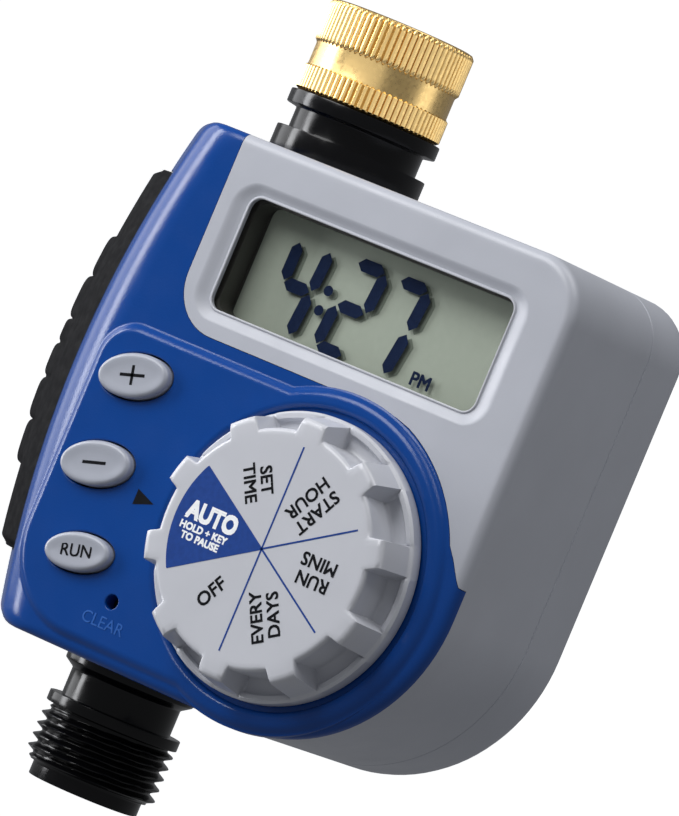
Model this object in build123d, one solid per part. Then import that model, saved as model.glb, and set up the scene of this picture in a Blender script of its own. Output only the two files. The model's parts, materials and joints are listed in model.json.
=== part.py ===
from build123d import *

import math
import os

# Single-outlet water timer that screws onto a garden tap. Millimetres, +Z up, the front faces -Y.
# The origin is the centre of the coupling's mouth, on the water axis.

# Hose threads: 3/4-11.5 garden hose thread, modelled plain at its major radius
NUT_RADIUS = 14.7
NUT_LENGTH = 18.3
NUT_GROOVE = (-13.1, -8.9)
NUT_GROOVE_RADIUS = 14.2
TAP_THREAD_RADIUS = 13.55
TAP_THREAD_LENGTH = 12.5
NUT_RECESS_RADIUS = 13.2
TAILPIECE_FLANGE = (-16.9, -15.3)
TAILPIECE_FLANGE_RADIUS = 12.9
TAILPIECE_BORE_RADIUS = 7.6
WASHER = (-15.3, -12.8)
WASHER_RADIUS = 13.1
WASHER_BORE_RADIUS = 8.4
HOSE_THREAD_RADIUS = 13.24
HOSE_THREAD_ROOT_RADIUS = 11.78

# Black inlet and outlet fittings
TAILPIECE_RADIUS = 9.5
INLET_COLLAR_RADIUS = 15.15
INLET_COLLAR = (-21.2, -18.5)
INLET_NECK_RADIUS = 12.96
INLET_FLANGE_TOP = -25.7
INLET_FLANGE_RADIUS = 15.1
INLET_PLUG_END = -41.0
PLUG_RADIUS = 11.05
WATER_TUBE_RADIUS = 10.0
WATER_BORE_RADIUS = 6.5
WATER_TUBE = (-130.0, -34.0)
OUTLET_FLANGE_RADIUS = 13.0
OUTLET_FLANGE_BASE = -135.6
OUTLET_THREAD_FLANGE = (-143.1, -141.0)
OUTLET_THREAD_FLANGE_RADIUS = 13.3
# A short neck at the root radius parts the flange from the first turn of the thread
OUTLET_THREAD = (-154.5, -143.9)
OUTLET_TIP_RADIUS = 11.02
OUTLET_END = -157.3

# Case
CASE_TOP = -30.5
CASE_BOTTOM = -132.2
CASE_RIGHT = 77.1
CASE_MIDDLE = (CASE_TOP + CASE_BOTTOM) / 2
CASE_FRONT = -31.0
CASE_BACK = 18.5
SEAM = 0.0
WALL = 2.2
TOP_CORNER = 11.0
LOW_CORNER = 33.5
LEFT_BOW = 7.0
# Sections of the case, from front to seam and from seam to back.
# Each is y, then the left edge at mid height, then the inset of the other sides.
FRONT_SKIN = ((-31.0, -16.8, 0.8), (-30.2, -19.2, 0.0), (-27.0, -21.3, 0.0), (-12.0, -32.0, 0.0),
              (0.0, -33.5, 0.0))
FRONT_HOLLOW = ((-28.8, -17.2, 2.2), (-27.0, -18.6, 2.2), (-12.0, -29.3, 2.2), (0.5, -31.3, 2.2))
REAR_SKIN = ((0.0, -33.5, 0.0), (10.5, -32.0, 0.0), (14.5, -29.0, 1.07), (17.43, -25.0, 4.0),
             (18.5, -20.0, 8.0))
REAR_HOLLOW = ((-0.5, -31.3, 2.2), (10.5, -29.8, 2.2), (13.4, -27.0, 3.13), (15.47, -23.5, 5.3),
               (16.3, -19.0, 8.2))
GRIP_SKIN = ((-24.0, -23.2, 0.0), (-19.0, -29.9, 0.0), (-15.6, -33.0, 0.0), (-11.0, -35.3, 0.0),
             (-5.0, -36.2, 0.0), (2.0, -36.3, 0.0), (8.0, -35.4, 0.0), (13.0, -32.2, 0.0), (15.6, -29.0, 0.0))
# The finger pads swell from the grip over part of its height
PAD_SKIN = ((-15.6, -33.0, 0.0), (-13.5, -36.3, 0.0), (-8.0, -37.9, 0.0), (-1.5, -38.3, 0.0),
            (2.0, -38.3, 0.0), (8.0, -37.4, 0.0), (13.0, -32.2, 0.0))
PAD_Z = (-104.0, -57.5)

# Blue cover
COVER_EDGE_X = -3.4
COVER_EDGE_Z = -68.4
COVER_CORNER = 8.0
COVER_LIP = 2.5
PANEL_RISE = 1.2
PANEL_LEFT = -14.3
PANEL_TOP = -71.6
PANEL_BOTTOM = -129.3
PANEL_TOP_CORNER = 7.0
PANEL_LOW_CORNER = 17.0

# Display
BEVEL_X = (-0.6, 68.3)
BEVEL_Z = (-65.6, -38.2)
WINDOW_X = (3.0, 64.5)
WINDOW_Z = (-63.1, -40.7)
LENS_FRONT = -30.0
LCD_FRONT = -23.5
LCD_BOARD = (-20.7, -19.2)

# Dial
DIAL = (41.7, -100.1)
DIAL_RADIUS = 27.2
DIAL_TOP_RADIUS = 25.2
DIAL_FACE = -42.0
DIAL_BASE = -31.4
DIAL_FLANGE = 1.8
DIAL_LUGS = 10
DIAL_LUG_WIDTH = 5.7
DIAL_NOTCH_RADIUS = 22.6
DIAL_SHAFT_RADIUS = 5.0
DIAL_WELL_RADIUS = 28.2
DIAL_RING_RADIUS = 31.6
DIAL_STOPS = 12
RUNNING_CLEARANCE = 0.05

# Buttons: centre x, centre z, width, height, tilt in degrees
PLUS_BUTTON = (-4.1, -80.3, 15.4, 8.6, 15.0)
MINUS_BUTTON = (-4.4, -98.0, 15.4, 8.6, 15.0)
RUN_BUTTON = (-0.5, -114.4, 14.4, 7.4, 13.0)
BUTTON_RISE = 3.0
BUTTON_GAP = 0.3
RESET_HOLE = (10.0, -120.4)
RESET_HOLE_RADIUS = 1.4

# Boards
MAIN_BOARD = (-25.8, -24.2)
KEYPAD_FRONT = -26.4
BOARD_SCREWS = ((-8.0, -73.5), (68.0, -76.0), (14.0, -125.0), (62.0, -118.0))

# Battery tray: two AA cells standing side by side, front and back
CELL_RADIUS = 7.15
CELL_LENGTH = 49.5
CELL_X = -20.6
CELL_Y = (-8.35, 6.55)
CELL_BASE = -106.5
TRAY_Z = (-119.2, -42.3)
TRAY_Y = (-23.7, 15.2)
TRAY_GAP = 0.3
CRADLE_RIGHT = -12.8
CRADLE_Y = (-16.4, 14.9)
CRADLE_Z = (-118.0, -43.0)
BAY_RIGHT = -11.9

# Valve, lying across the water tube: its axis runs along X at this height
VALVE_Z = -62.0
CHAMBER_RADIUS = 16.0
CHAMBER = (2.0, 14.0)
DIAPHRAGM = (14.0, 15.0)
BONNET = (15.0, 23.0)
BONNET_SCREW_CIRCLE = 14.25
PLUNGER_RADIUS = 4.0
PLUNGER = (23.3, 40.0)
GUIDE_END = 46.0
WINDING_RADIUS = 10.0
YOKE_END = 47.4

CASE_SCREWS = ((-15.5, -35.4), (40.0, -35.3), (71.8, -48.0), (71.8, -92.0), (36.0, -127.4), (-15.0, -127.4))
BOSS_RADIUS = 3.2
SCREW_RADIUS = 1.25


def along_z(radius, low, high, x=0.0, y=0.0):
    return Pos(x, y, (low + high) / 2) * Cylinder(radius, high - low)


def along_y(radius, front, back, x, z):
    return Pos(x, (front + back) / 2, z) * Rot(90, 0, 0) * Cylinder(radius, back - front)


def along_x(radius, left, right, y=0.0, z=VALVE_Z):
    return Pos((left + right) / 2, y, z) * Rot(0, 90, 0) * Cylinder(radius, right - left)


def block(x, y, z):
    centre = Pos(sum(x) / 2, sum(y) / 2, sum(z) / 2)
    return centre * Box(x[1] - x[0], y[1] - y[0], z[1] - z[0])


def prism(face, front, back):
    """A flat shape drawn in the front view, X across and Z up, given depth from front to back."""
    return extrude(Plane.XZ.offset(-back) * face, amount=back - front)


def outline(left, inset, bow=LEFT_BOW):
    """The case in the front view: bowed left edge, small top-right corner and large bottom-right corner."""
    top = CASE_TOP - inset
    bottom = CASE_BOTTOM + inset
    right = CASE_RIGHT - inset
    top_corner = TOP_CORNER - inset
    low_corner = LOW_CORNER - inset
    edges = [
        Line((left + bow, top), (right - top_corner, top)),
        CenterArc((right - top_corner, top - top_corner), top_corner, 90, -90),
        Line((right, top - top_corner), (right, bottom + low_corner)),
        CenterArc((right - low_corner, bottom + low_corner), low_corner, 0, -90),
        Line((right - low_corner, bottom), (left + bow, bottom)),
        ThreePointArc((left + bow, bottom), (left, CASE_MIDDLE), (left + bow, top)),
    ]
    return make_face(Wire(edges))


def skin(stations, bow=LEFT_BOW):
    """A solid through case outlines at several depths."""
    faces = [Plane.XZ.offset(-y) * outline(left, inset, bow) for y, left, inset in stations]
    return loft(faces, ruled=True)


def rounded(x, z, radius):
    centre = Pos(sum(x) / 2, sum(z) / 2)
    return centre * RectangleRounded(x[1] - x[0], z[1] - z[0], radius)


def ellipse(button, grow):
    x, z, width, height, tilt = button
    return Pos(x, z) * Rot(0, 0, tilt) * Ellipse(width / 2 + grow, height / 2 + grow)


def coil(radius, wire, length, turns):
    """A helical spring standing on the XY plane."""
    path = Helix(pitch=length / turns, height=length, radius=radius)
    start = Plane(path @ 0, z_dir=path % 0)
    return sweep(start * Circle(wire / 2), path=path, is_frenet=True)


def screw(length, head_radius, head_height, shank_radius):
    """A pan-head screw pointing down, its head resting on the XY plane, with a cross slot."""
    head = Pos(0, 0, head_height / 2) * Cylinder(head_radius, head_height)
    slot = Pos(0, 0, head_height) * (Box(head_radius, 0.5, head_height) + Box(0.5, head_radius, head_height))
    return head - slot + Pos(0, 0, -length / 2) * Cylinder(shank_radius, length)


# --- inlet -----------------------------------------------------------------------------------------

def coupling_nut():
    """Brass swivel nut that screws onto the tap, held on the tailpiece by its lower lip."""
    body = along_z(NUT_RADIUS, -NUT_LENGTH, 0)
    body -= along_z(NUT_RADIUS + 1, *NUT_GROOVE) - along_z(NUT_GROOVE_RADIUS, *NUT_GROOVE)
    body = chamfer(body.edges().group_by(Axis.Z)[-1], 0.4)
    body = chamfer(body.edges().group_by(Axis.Z)[0], 0.3)
    body -= along_z(TAP_THREAD_RADIUS, -TAP_THREAD_LENGTH, 1)
    body -= along_z(NUT_RECESS_RADIUS, -17.0, -TAP_THREAD_LENGTH)
    return body - along_z(TAILPIECE_RADIUS + RUNNING_CLEARANCE, -NUT_LENGTH - 1, -16)


def hose_washer():
    return along_z(WASHER_RADIUS, *WASHER) - along_z(WASHER_BORE_RADIUS, WASHER[0] - 1, WASHER[1] + 1)


def filter_screen():
    """Dished strainer with a rim that sits inside the washer."""
    rim = along_z(8.4, -14.6, -13.4) - along_z(7.2, -15, -13)
    dish = along_z(7.2, -15.2, -14.4) - along_z(6.4, -15, -14)
    holes = [along_z(0.7, -16, -14, x, y) for x, y in ((0, 0), (3, 0), (-3, 0), (0, 3), (0, -3))]
    return rim + dish - holes


def inlet_tailpiece():
    """Tube that the nut turns on: its top flange seals against the washer."""
    body = along_z(TAILPIECE_FLANGE_RADIUS, *TAILPIECE_FLANGE)
    body += along_z(TAILPIECE_RADIUS, WATER_TUBE[1], TAILPIECE_FLANGE[1])
    return body - along_z(TAILPIECE_BORE_RADIUS, WATER_TUBE[1] - 1, TAILPIECE_FLANGE[1] + 1)


def inlet_collar():
    """Black stepped neck that stands on the case and joins the tailpiece to the valve body."""
    body = along_z(INLET_COLLAR_RADIUS, *INLET_COLLAR)
    body += along_z(INLET_NECK_RADIUS, INLET_FLANGE_TOP, INLET_COLLAR[0])
    body += along_z(INLET_FLANGE_RADIUS, CASE_TOP, INLET_FLANGE_TOP)
    body += along_z(PLUG_RADIUS, INLET_PLUG_END, CASE_TOP)
    body -= along_z(TAILPIECE_RADIUS, WATER_TUBE[1], -18)
    return body - along_z(WATER_TUBE_RADIUS, -42, WATER_TUBE[1])


def groove_ring(low, high):
    return along_z(WATER_TUBE_RADIUS, low, high) - along_z(WATER_TUBE_RADIUS - 1.2, low - 1, high + 1)


def inlet_oring():
    return groove_ring(-38.8, -37.2)


# --- case ------------------------------------------------------------------------------------------

def tray_opening():
    y = (TRAY_Y[0] - TRAY_GAP, TRAY_Y[1] + TRAY_GAP)
    z = (TRAY_Z[0] - TRAY_GAP, TRAY_Z[1] + TRAY_GAP)
    return block((-60, -17), y, z)


def seam_ring():
    outer = outline(FRONT_SKIN[-1][1] + 0.7, 0.7)
    return prism(outer - outline(FRONT_SKIN[-1][1] + 1.5, 1.5), SEAM - 0.8, SEAM)


def fitting_holes():
    return along_z(PLUG_RADIUS, -45, -25) + along_z(PLUG_RADIUS, -140, -120)


def cover_region():
    """The part of the front that is blue: left strip, then everything under the display, round the dial."""
    x, z = DIAL
    radius = DIAL_RING_RADIUS + 1.0
    right = CASE_RIGHT + 5
    low = CASE_BOTTOM - 5
    high = CASE_TOP + 5
    left_strip = Polygon((-60, low), (COVER_EDGE_X, low), (COVER_EDGE_X, high), (-60, high), align=None)
    under = Polygon((-60, low), (x, low), (x, COVER_EDGE_Z), (-60, COVER_EDGE_Z), align=None)
    round_dial = Polygon((x, low), (right, low), (right, z + 6), (x, z + 6), align=None)
    corner_x = COVER_EDGE_X + COVER_CORNER
    corner_z = COVER_EDGE_Z + COVER_CORNER
    square = Polygon((COVER_EDGE_X, COVER_EDGE_Z), (corner_x, COVER_EDGE_Z), (corner_x, corner_z),
                     (COVER_EDGE_X, corner_z), align=None)
    fillet_corner = square - Pos(corner_x, corner_z) * Circle(COVER_CORNER)
    return left_strip + under + round_dial + Pos(x, z) * Circle(radius) + fillet_corner


def panel_region():
    """The raised control panel: rounded on the left, ending in the ring about the dial."""
    x, z = DIAL
    corners = ((PANEL_LEFT, PANEL_BOTTOM), (x, PANEL_BOTTOM), (x, PANEL_TOP), (PANEL_LEFT, PANEL_TOP))
    sheet = Polygon(*corners, align=None)
    top_cut = Pos(PANEL_LEFT, PANEL_TOP) * Rectangle(2 * PANEL_TOP_CORNER, 2 * PANEL_TOP_CORNER)
    low_cut = Pos(PANEL_LEFT, PANEL_BOTTOM) * Rectangle(2 * PANEL_LOW_CORNER, 2 * PANEL_LOW_CORNER)
    sheet -= top_cut + low_cut
    sheet += Pos(PANEL_LEFT + PANEL_TOP_CORNER, PANEL_TOP - PANEL_TOP_CORNER) * Circle(PANEL_TOP_CORNER)
    sheet += Pos(PANEL_LEFT + PANEL_LOW_CORNER, PANEL_BOTTOM + PANEL_LOW_CORNER) * Circle(PANEL_LOW_CORNER)
    return sheet + Pos(x, z) * Circle(DIAL_RING_RADIUS)


def front_shell():
    """Both colours of the front half together, before they are parted."""
    shell = skin(FRONT_SKIN) - skin(FRONT_HOLLOW)
    return shell - seam_ring() - tray_opening() - fitting_holes()


def cover_envelope():
    """Space that the blue cover takes out of the front half: face plate plus the whole left side."""
    face = prism(cover_region(), CASE_FRONT - 5, FRONT_HOLLOW[0][0])
    return face + block((-60, COVER_EDGE_X), (CASE_FRONT - 5, SEAM), (CASE_BOTTOM - 5, CASE_TOP + 5))


def front_cover(shell):
    """Blue cover with the raised panel, the dial well and the holes for the buttons."""
    cover = shell & cover_envelope()
    cover += prism(panel_region(), CASE_FRONT - PANEL_RISE, CASE_FRONT)
    cover -= along_y(DIAL_WELL_RADIUS, CASE_FRONT - 5, CASE_FRONT, *DIAL)
    cover -= along_y(DIAL_SHAFT_RADIUS + RUNNING_CLEARANCE, CASE_FRONT - 5, 0, *DIAL)
    for button in (PLUS_BUTTON, MINUS_BUTTON, RUN_BUTTON):
        cover -= prism(ellipse(button, BUTTON_GAP), CASE_FRONT - 5, 0)
    cover -= along_y(RESET_HOLE_RADIUS, CASE_FRONT - 5, -20, *RESET_HOLE)
    for x, z in (CASE_SCREWS[0], CASE_SCREWS[-1]):
        boss = along_y(BOSS_RADIUS, -18, SEAM, x, z) & skin(FRONT_SKIN)
        cover += boss - along_y(SCREW_RADIUS, -16, SEAM + 1, x, z) - fitting_holes() - seam_ring()
    return cover


def lcd_pocket():
    return block((0.7, 67.3), (-30, -20), (-66.9, -37.7))


def front_housing(shell):
    """Grey front housing: display bevel, right side and the lip that carries the blue cover."""
    housing = shell - cover_envelope()
    lip = offset(cover_region(), COVER_LIP) - offset(cover_region(), -COVER_LIP)
    lip = prism(lip, FRONT_HOLLOW[0][0], FRONT_HOLLOW[0][0] + 1.8)
    housing += lip & skin(FRONT_HOLLOW) & block((COVER_EDGE_X - 4, 80), (-29, -26), (-96, -32)) - lcd_pocket()
    bevel_front = Plane.XZ.offset(-CASE_FRONT) * rounded(BEVEL_X, BEVEL_Z, 5.0)
    bevel_back = Plane.XZ.offset(-LENS_FRONT) * rounded(WINDOW_X, WINDOW_Z, 2.5)
    housing -= loft([bevel_front, bevel_back], ruled=True)
    housing -= prism(rounded((0.8, 66.7), (-65.0, -38.9), 3.0), LENS_FRONT, -25)
    for x, z in CASE_SCREWS[1:-1]:
        boss = along_y(BOSS_RADIUS, -18, SEAM, x, z) & skin(FRONT_SKIN)
        housing += boss - along_y(SCREW_RADIUS, -16, SEAM + 1, x, z) - seam_ring()
    return housing


def rear_housing():
    """Grey rear half, with deep counterbores for the case screws."""
    shell = skin(REAR_SKIN) - skin(REAR_HOLLOW) - tray_opening() - fitting_holes()
    for x, z in CASE_SCREWS:
        boss = along_y(BOSS_RADIUS + 0.8, SEAM, 17, x, z) & skin(REAR_SKIN)
        shell += boss - fitting_holes()
        shell -= along_y(SCREW_RADIUS + 0.25, -1, 20, x, z) + along_y(2.9, 9.0, 20, x, z)
    return shell - block((-60, -40), (-1, 20), (-140, -20))


def housing_gasket():
    return seam_ring() - tray_opening() - fitting_holes()


def housing_screws():
    one = Rot(-90, 0, 0) * screw(20, 2.6, 2.2, SCREW_RADIUS)
    return [Pos(x, 9.0, z) * one for x, z in CASE_SCREWS]


# --- display and boards ----------------------------------------------------------------------------

def display_window():
    return prism(rounded((0.9, 66.6), (-64.9, -39.0), 3.0), LENS_FRONT, -28.6)


def lcd_holder():
    """Dark frame between the window and the glass, with a rebate that holds the glass from behind."""
    frame = prism(rounded((1.0, 67.0), (-66.6, -38.0), 1.5), -28.6, LCD_BOARD[0])
    frame -= prism(rounded((3.8, 63.9), (-63.0, -41.2), 2.5), -30, LCD_FRONT)
    return frame - block((1.9, 66.1), (LCD_FRONT, 0), (-65.7, -38.9))


def lcd_glass():
    return block((2.0, 66.0), (LCD_FRONT, -21.9), (-65.6, -39.0))


def lcd_contact_strip():
    return block((8.0, 60.0), (-21.9, LCD_BOARD[0]), (-65.2, -62.8))


def lcd_board():
    return block((1.0, 67.0), LCD_BOARD, (-66.6, -38.0))


def main_board():
    """Printed board behind the panel, cut away for the dial's screw."""
    board = prism(outline(-20.0, 4.5), *MAIN_BOARD) & block((-12, 80), (-30, -20), (-127.0, -70.0))
    board -= along_y(3.6, -30, -20, *DIAL)
    for x, z in BOARD_SCREWS:
        board -= along_y(1.3, -30, -20, x, z)
    return board


def board_screws():
    one = Rot(-90, 0, 0) * screw(2.6, 2.0, 1.3, 1.1)
    return [Pos(x, MAIN_BOARD[1], z) * one for x, z in BOARD_SCREWS]


def board_ribbon():
    lower = block((50, 64), (MAIN_BOARD[1], -19.7), (-72.0, -71.7))
    return lower + block((50, 64), (-20.0, -19.7), (-72.0, -66.6))


def keypad_mat():
    """Silicone mat with one low pad behind each button."""
    mat = block((-11.8, 6.0), (KEYPAD_FRONT, MAIN_BOARD[0]), (-121.0, -74.6))
    for x, z in (PLUS_BUTTON[:2], MINUS_BUTTON[:2], RUN_BUTTON[:2]):
        mat += along_y(3.0, KEYPAD_FRONT - 0.25, KEYPAD_FRONT, x, z)
    return mat


def button(shape):
    """Oval cap with a flange that stops it behind the cover."""
    front = CASE_FRONT - PANEL_RISE - BUTTON_RISE
    cap = prism(ellipse(shape, 0.0), front, -28.5)
    cap = chamfer(cap.edges().group_by(Axis.Y)[0], 0.7)
    return cap + prism(ellipse(shape, 1.4), -28.5, -28.0)


def reset_switch():
    x, z = RESET_HOLE
    body = block((x - 2.5, x + 2.5), (-28.0, MAIN_BOARD[0]), (z - 2.5, z + 2.5))
    return body - along_y(1.0 + RUNNING_CLEARANCE, -29, -26.6, x, z)


def reset_stem():
    return along_y(1.0, -28.5, -27.0, *RESET_HOLE)


# --- dial ------------------------------------------------------------------------------------------

def dial_knob():
    """Knob with ten finger lugs, a thin base flange, a hollow underside and the shaft."""
    x, z = DIAL
    flange_front = DIAL_BASE - DIAL_FLANGE
    base = Plane.XZ.offset(-flange_front) * (Pos(x, z) * Circle(DIAL_RADIUS - 0.4))
    face = Plane.XZ.offset(-DIAL_FACE) * (Pos(x, z) * Circle(DIAL_TOP_RADIUS))
    knob = loft([base, face]) + along_y(DIAL_RADIUS, flange_front, DIAL_BASE, x, z)
    half_pitch = 180 / DIAL_LUGS
    half_lug = math.degrees(math.asin(DIAL_LUG_WIDTH / 2 / DIAL_TOP_RADIUS))
    reach = half_pitch - half_lug
    for notch in range(DIAL_LUGS):
        middle = 90 + (2 * notch + 1) * half_pitch
        sector = [(0.0, 0.0)]
        for angle in (middle - reach, middle + reach):
            sector.append((60 * math.cos(math.radians(angle)), 60 * math.sin(math.radians(angle))))
        wedge = Polygon(*sector, align=None) - Circle(DIAL_NOTCH_RADIUS)
        knob -= prism(Pos(x, z) * wedge, DIAL_FACE - 1, flange_front)
    knob -= along_y(20.5, DIAL_FACE + 2.2, DIAL_BASE + 1, x, z)
    knob += along_y(DIAL_SHAFT_RADIUS, DIAL_FACE + 2.0, -28.6, x, z) + along_y(3.0, -29, -27.0, x, z)
    return knob - along_y(1.4, -33, -26, x, z)


def dial_detent_wheel():
    """Wheel behind the cover with one dent for each half step of the dial."""
    x, z = DIAL
    wheel = along_y(8.6, -28.5, -27.0, x, z) - along_y(3.0, -29, -26, x, z)
    for stop in range(DIAL_STOPS):
        angle = math.radians(stop * 360 / DIAL_STOPS - 90)
        wheel -= along_y(1.0, -29, -26, x + 9.1 * math.cos(angle), z + 9.1 * math.sin(angle))
    return wheel


def detent_spring():
    x, z = DIAL
    leaf = block((x - 9, x + 9), (-28.3, -27.2), (z - 9.5, z - 9.1))
    sides = (x - 9, x + 9)
    feet = [block((side - 0.8, side + 0.8), (-28.3, MAIN_BOARD[0]), (z - 9.9, z - 9.1)) for side in sides]
    return leaf + feet


def dial_wiper():
    x, z = DIAL
    disc = along_y(7.5, -27.0, -26.6, x, z) - along_y(1.45, -28, -26, x, z)
    fingers = [block((x + s * 6 - 0.7, x + s * 6 + 0.7), (-26.6, -26.1), (z - 0.7, z + 0.7)) for s in (-1, 1)]
    return disc + fingers


def dial_screw():
    x, z = DIAL
    return Pos(x, -26.6, z) * Rot(-90, 0, 0) * screw(5.6, 2.6, 1.2, 1.4)


# --- battery tray ----------------------------------------------------------------------------------

def whole_skin():
    return skin(FRONT_SKIN) + skin(REAR_SKIN)


def whole_hollow():
    return skin(FRONT_HOLLOW) + skin(REAR_HOLLOW)


def cell_places():
    return [(CELL_X, y) for y in CELL_Y]


def battery_tray():
    """Face plate that fills the opening in the left side, and the cradle for the two cells."""
    face = (whole_skin() - whole_hollow()) & block((-60, -17), TRAY_Y, TRAY_Z)
    cradle = block((-40, CRADLE_RIGHT), CRADLE_Y, CRADLE_Z) & whole_hollow()
    for x, y in cell_places():
        cradle -= along_z(CELL_RADIUS + 0.15, -113.5, -54.5, x, y)
        cradle -= block((x, 0), (y - CELL_RADIUS - 0.15, y + CELL_RADIUS + 0.15), (-113.5, -54.5))
    return face + cradle - tray_contacts()


def tray_grip():
    """Rubber grip over the tray's face plate, with the finger pads over its middle."""
    pads = skin(PAD_SKIN) & block((-60, -17), (PAD_SKIN[0][0], PAD_SKIN[-1][0]), PAD_Z)
    grip = skin(GRIP_SKIN) + pads - whole_skin()
    return grip & block((-60, -17), (TRAY_Y[0] + 0.1, TRAY_Y[1] - 0.1), (TRAY_Z[0] + 0.2, TRAY_Z[1] - 0.2))


def battery_cell(place):
    x, y = place
    top = CELL_BASE + CELL_LENGTH
    return along_z(CELL_RADIUS, CELL_BASE, top, x, y) + along_z(2.6, top, top + 1.0, x, y)


def tray_springs():
    one = coil(4.2, 0.8, 5.4, 3)
    return [Pos(x, y, -112.6) * one for x, y in cell_places()]


def tray_contacts():
    """Plates at both ends of the cells: a joining plate below and two separate ones above."""
    lower = block((-26, -15), (CELL_Y[0] - 4, CELL_Y[1] + 4), (-113.5, -113.0))
    upper = [block((-26, -14.5), (y - 4, y + 4), (-55.0, -54.5)) for x, y in cell_places()]
    return [lower] + upper


def battery_bay():
    """Thin walls that part the cells from the boards and the valve."""
    outer = block((-40, BAY_RIGHT + 1.3), (CRADLE_Y[0] - 1.5, 16.2), (CRADLE_Z[0] - 1.6, CRADLE_Z[1] + 1.5))
    inner = block((-41, BAY_RIGHT), (CRADLE_Y[0] - 0.3, 17), (CRADLE_Z[0] - 0.3, CRADLE_Z[1] + 0.3))
    return (outer - inner) & whole_hollow()


def bay_contacts():
    return [block((BAY_RIGHT - 0.5, BAY_RIGHT), (y - 2, y + 2), (-62, -50)) for x, y in cell_places()]


# --- valve -----------------------------------------------------------------------------------------

def valve_body():
    """Vertical water tube and, on its right, the chamber whose centre port leads to the outlet."""
    body = along_z(WATER_TUBE_RADIUS, *WATER_TUBE) + along_x(CHAMBER_RADIUS, *CHAMBER)
    body -= along_z(WATER_BORE_RADIUS, -53.0, WATER_TUBE[1] + 1) + along_z(WATER_BORE_RADIUS, -131, -60.0)
    body -= along_x(12.5, 7.0, CHAMBER[1] + 1) - along_x(6.5, 7.0, 13.5)
    body -= along_x(5.0, 0.0, 15.0)
    body -= along_x(3.0, 0.0, 8.0, z=-51.0)
    body -= groove_ring(-38.8, -37.2) + groove_ring(-126.8, -125.2)
    return body - bonnet_holes(6.0, CHAMBER[1] + 1)


def bonnet_holes(left, right):
    angles = [math.pi * (0.25 + 0.5 * k) for k in range(4)]
    places = [(BONNET_SCREW_CIRCLE * math.cos(a), BONNET_SCREW_CIRCLE * math.sin(a)) for a in angles]
    holes = [along_x(0.9, left, right, y, VALVE_Z + z) for y, z in places]
    return holes[0] + holes[1:]


def diaphragm():
    sheet = along_x(CHAMBER_RADIUS, *DIAPHRAGM) - along_x(6.05, 13, 16)
    return sheet - bonnet_holes(13, 16)


def diaphragm_disc():
    return along_x(6.0, 13.6, 16.4) - along_x(0.4, 13, 17)


def diaphragm_spring():
    return Pos(16.7, 0, VALVE_Z) * Rot(0, 90, 0) * coil(3.6, 0.6, 2.8, 3)


def valve_bonnet():
    """Cap over the diaphragm with the pilot orifice and the plunger's guide tube."""
    cap = along_x(CHAMBER_RADIUS, *BONNET) + along_x(5.2, BONNET[1], GUIDE_END)
    cap -= along_x(12.5, 14, 20) + along_x(0.6, 19, 24)
    cap -= along_x(PLUNGER_RADIUS + RUNNING_CLEARANCE, BONNET[1], 44)
    return cap - bonnet_holes(14, 24)


def bonnet_screws():
    holes = bonnet_holes(6.5, BONNET[1])
    heads = [Pos(BONNET[1], 0, 0) * block((0, 1.3), (y - 1.6, y + 1.6), (z - 1.6, z + 1.6))
             for y in (-10.08, 10.08) for z in (VALVE_Z - 10.08, VALVE_Z + 10.08)]
    return [shank + head for shank in holes.solids() for head in heads
            if abs(shank.center().Y - head.center().Y) < 1 and abs(shank.center().Z - head.center().Z) < 1]


def plunger():
    return along_x(PLUNGER_RADIUS, *PLUNGER) - along_x(1.2, 37, 41)


def plunger_spring():
    return Pos(40.4, 0, VALVE_Z) * Rot(0, 90, 0) * coil(2.6, 0.6, 3.2, 3)


def solenoid_bobbin():
    bobbin = along_x(6.3, 24, GUIDE_END) + along_x(10.6, 24, 25.2) + along_x(10.6, GUIDE_END - 1.2, GUIDE_END)
    return bobbin - along_x(5.2, 23, 47)


def solenoid_winding():
    return along_x(WINDING_RADIUS, 25.2, GUIDE_END - 1.2) - along_x(6.3, 25, GUIDE_END)


def solenoid_yoke():
    """Steel frame round the winding."""
    z = (VALVE_Z - 7.5, VALVE_Z + 7.5)
    frame = block((23.0, YOKE_END), (-12.2, 12.2), z) - block((24.0, GUIDE_END), (-10.8, 10.8), (-80, -40))
    return frame - along_x(5.2, 22, 25)


def latching_magnet():
    return along_x(6.0, YOKE_END, YOKE_END + 3)


def solenoid_leads():
    return [along_y(0.6, MAIN_BOARD[1], -5.4, x, -71.3) for x in (29.0, 39.0)]


def outlet_spigot():
    """Black outlet: plug inside the case, flange, neck and the male hose thread."""
    body = along_z(PLUG_RADIUS, CASE_BOTTOM, -122.0)
    body += along_z(OUTLET_FLANGE_RADIUS, OUTLET_FLANGE_BASE, CASE_BOTTOM)
    body += along_z(PLUG_RADIUS, OUTLET_THREAD_FLANGE[1], OUTLET_FLANGE_BASE)
    body += along_z(OUTLET_THREAD_FLANGE_RADIUS, *OUTLET_THREAD_FLANGE)
    body += along_z(HOSE_THREAD_ROOT_RADIUS, OUTLET_THREAD[1], OUTLET_THREAD_FLANGE[0])
    body += along_z(HOSE_THREAD_RADIUS, *OUTLET_THREAD)
    body += along_z(OUTLET_TIP_RADIUS, OUTLET_END, OUTLET_THREAD[0])
    body -= along_z(WATER_TUBE_RADIUS, WATER_TUBE[0], -121)
    return body - along_z(WATER_BORE_RADIUS, OUTLET_END - 1, WATER_TUBE[0])


def outlet_oring():
    return groove_ring(-126.8, -125.2)


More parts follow.
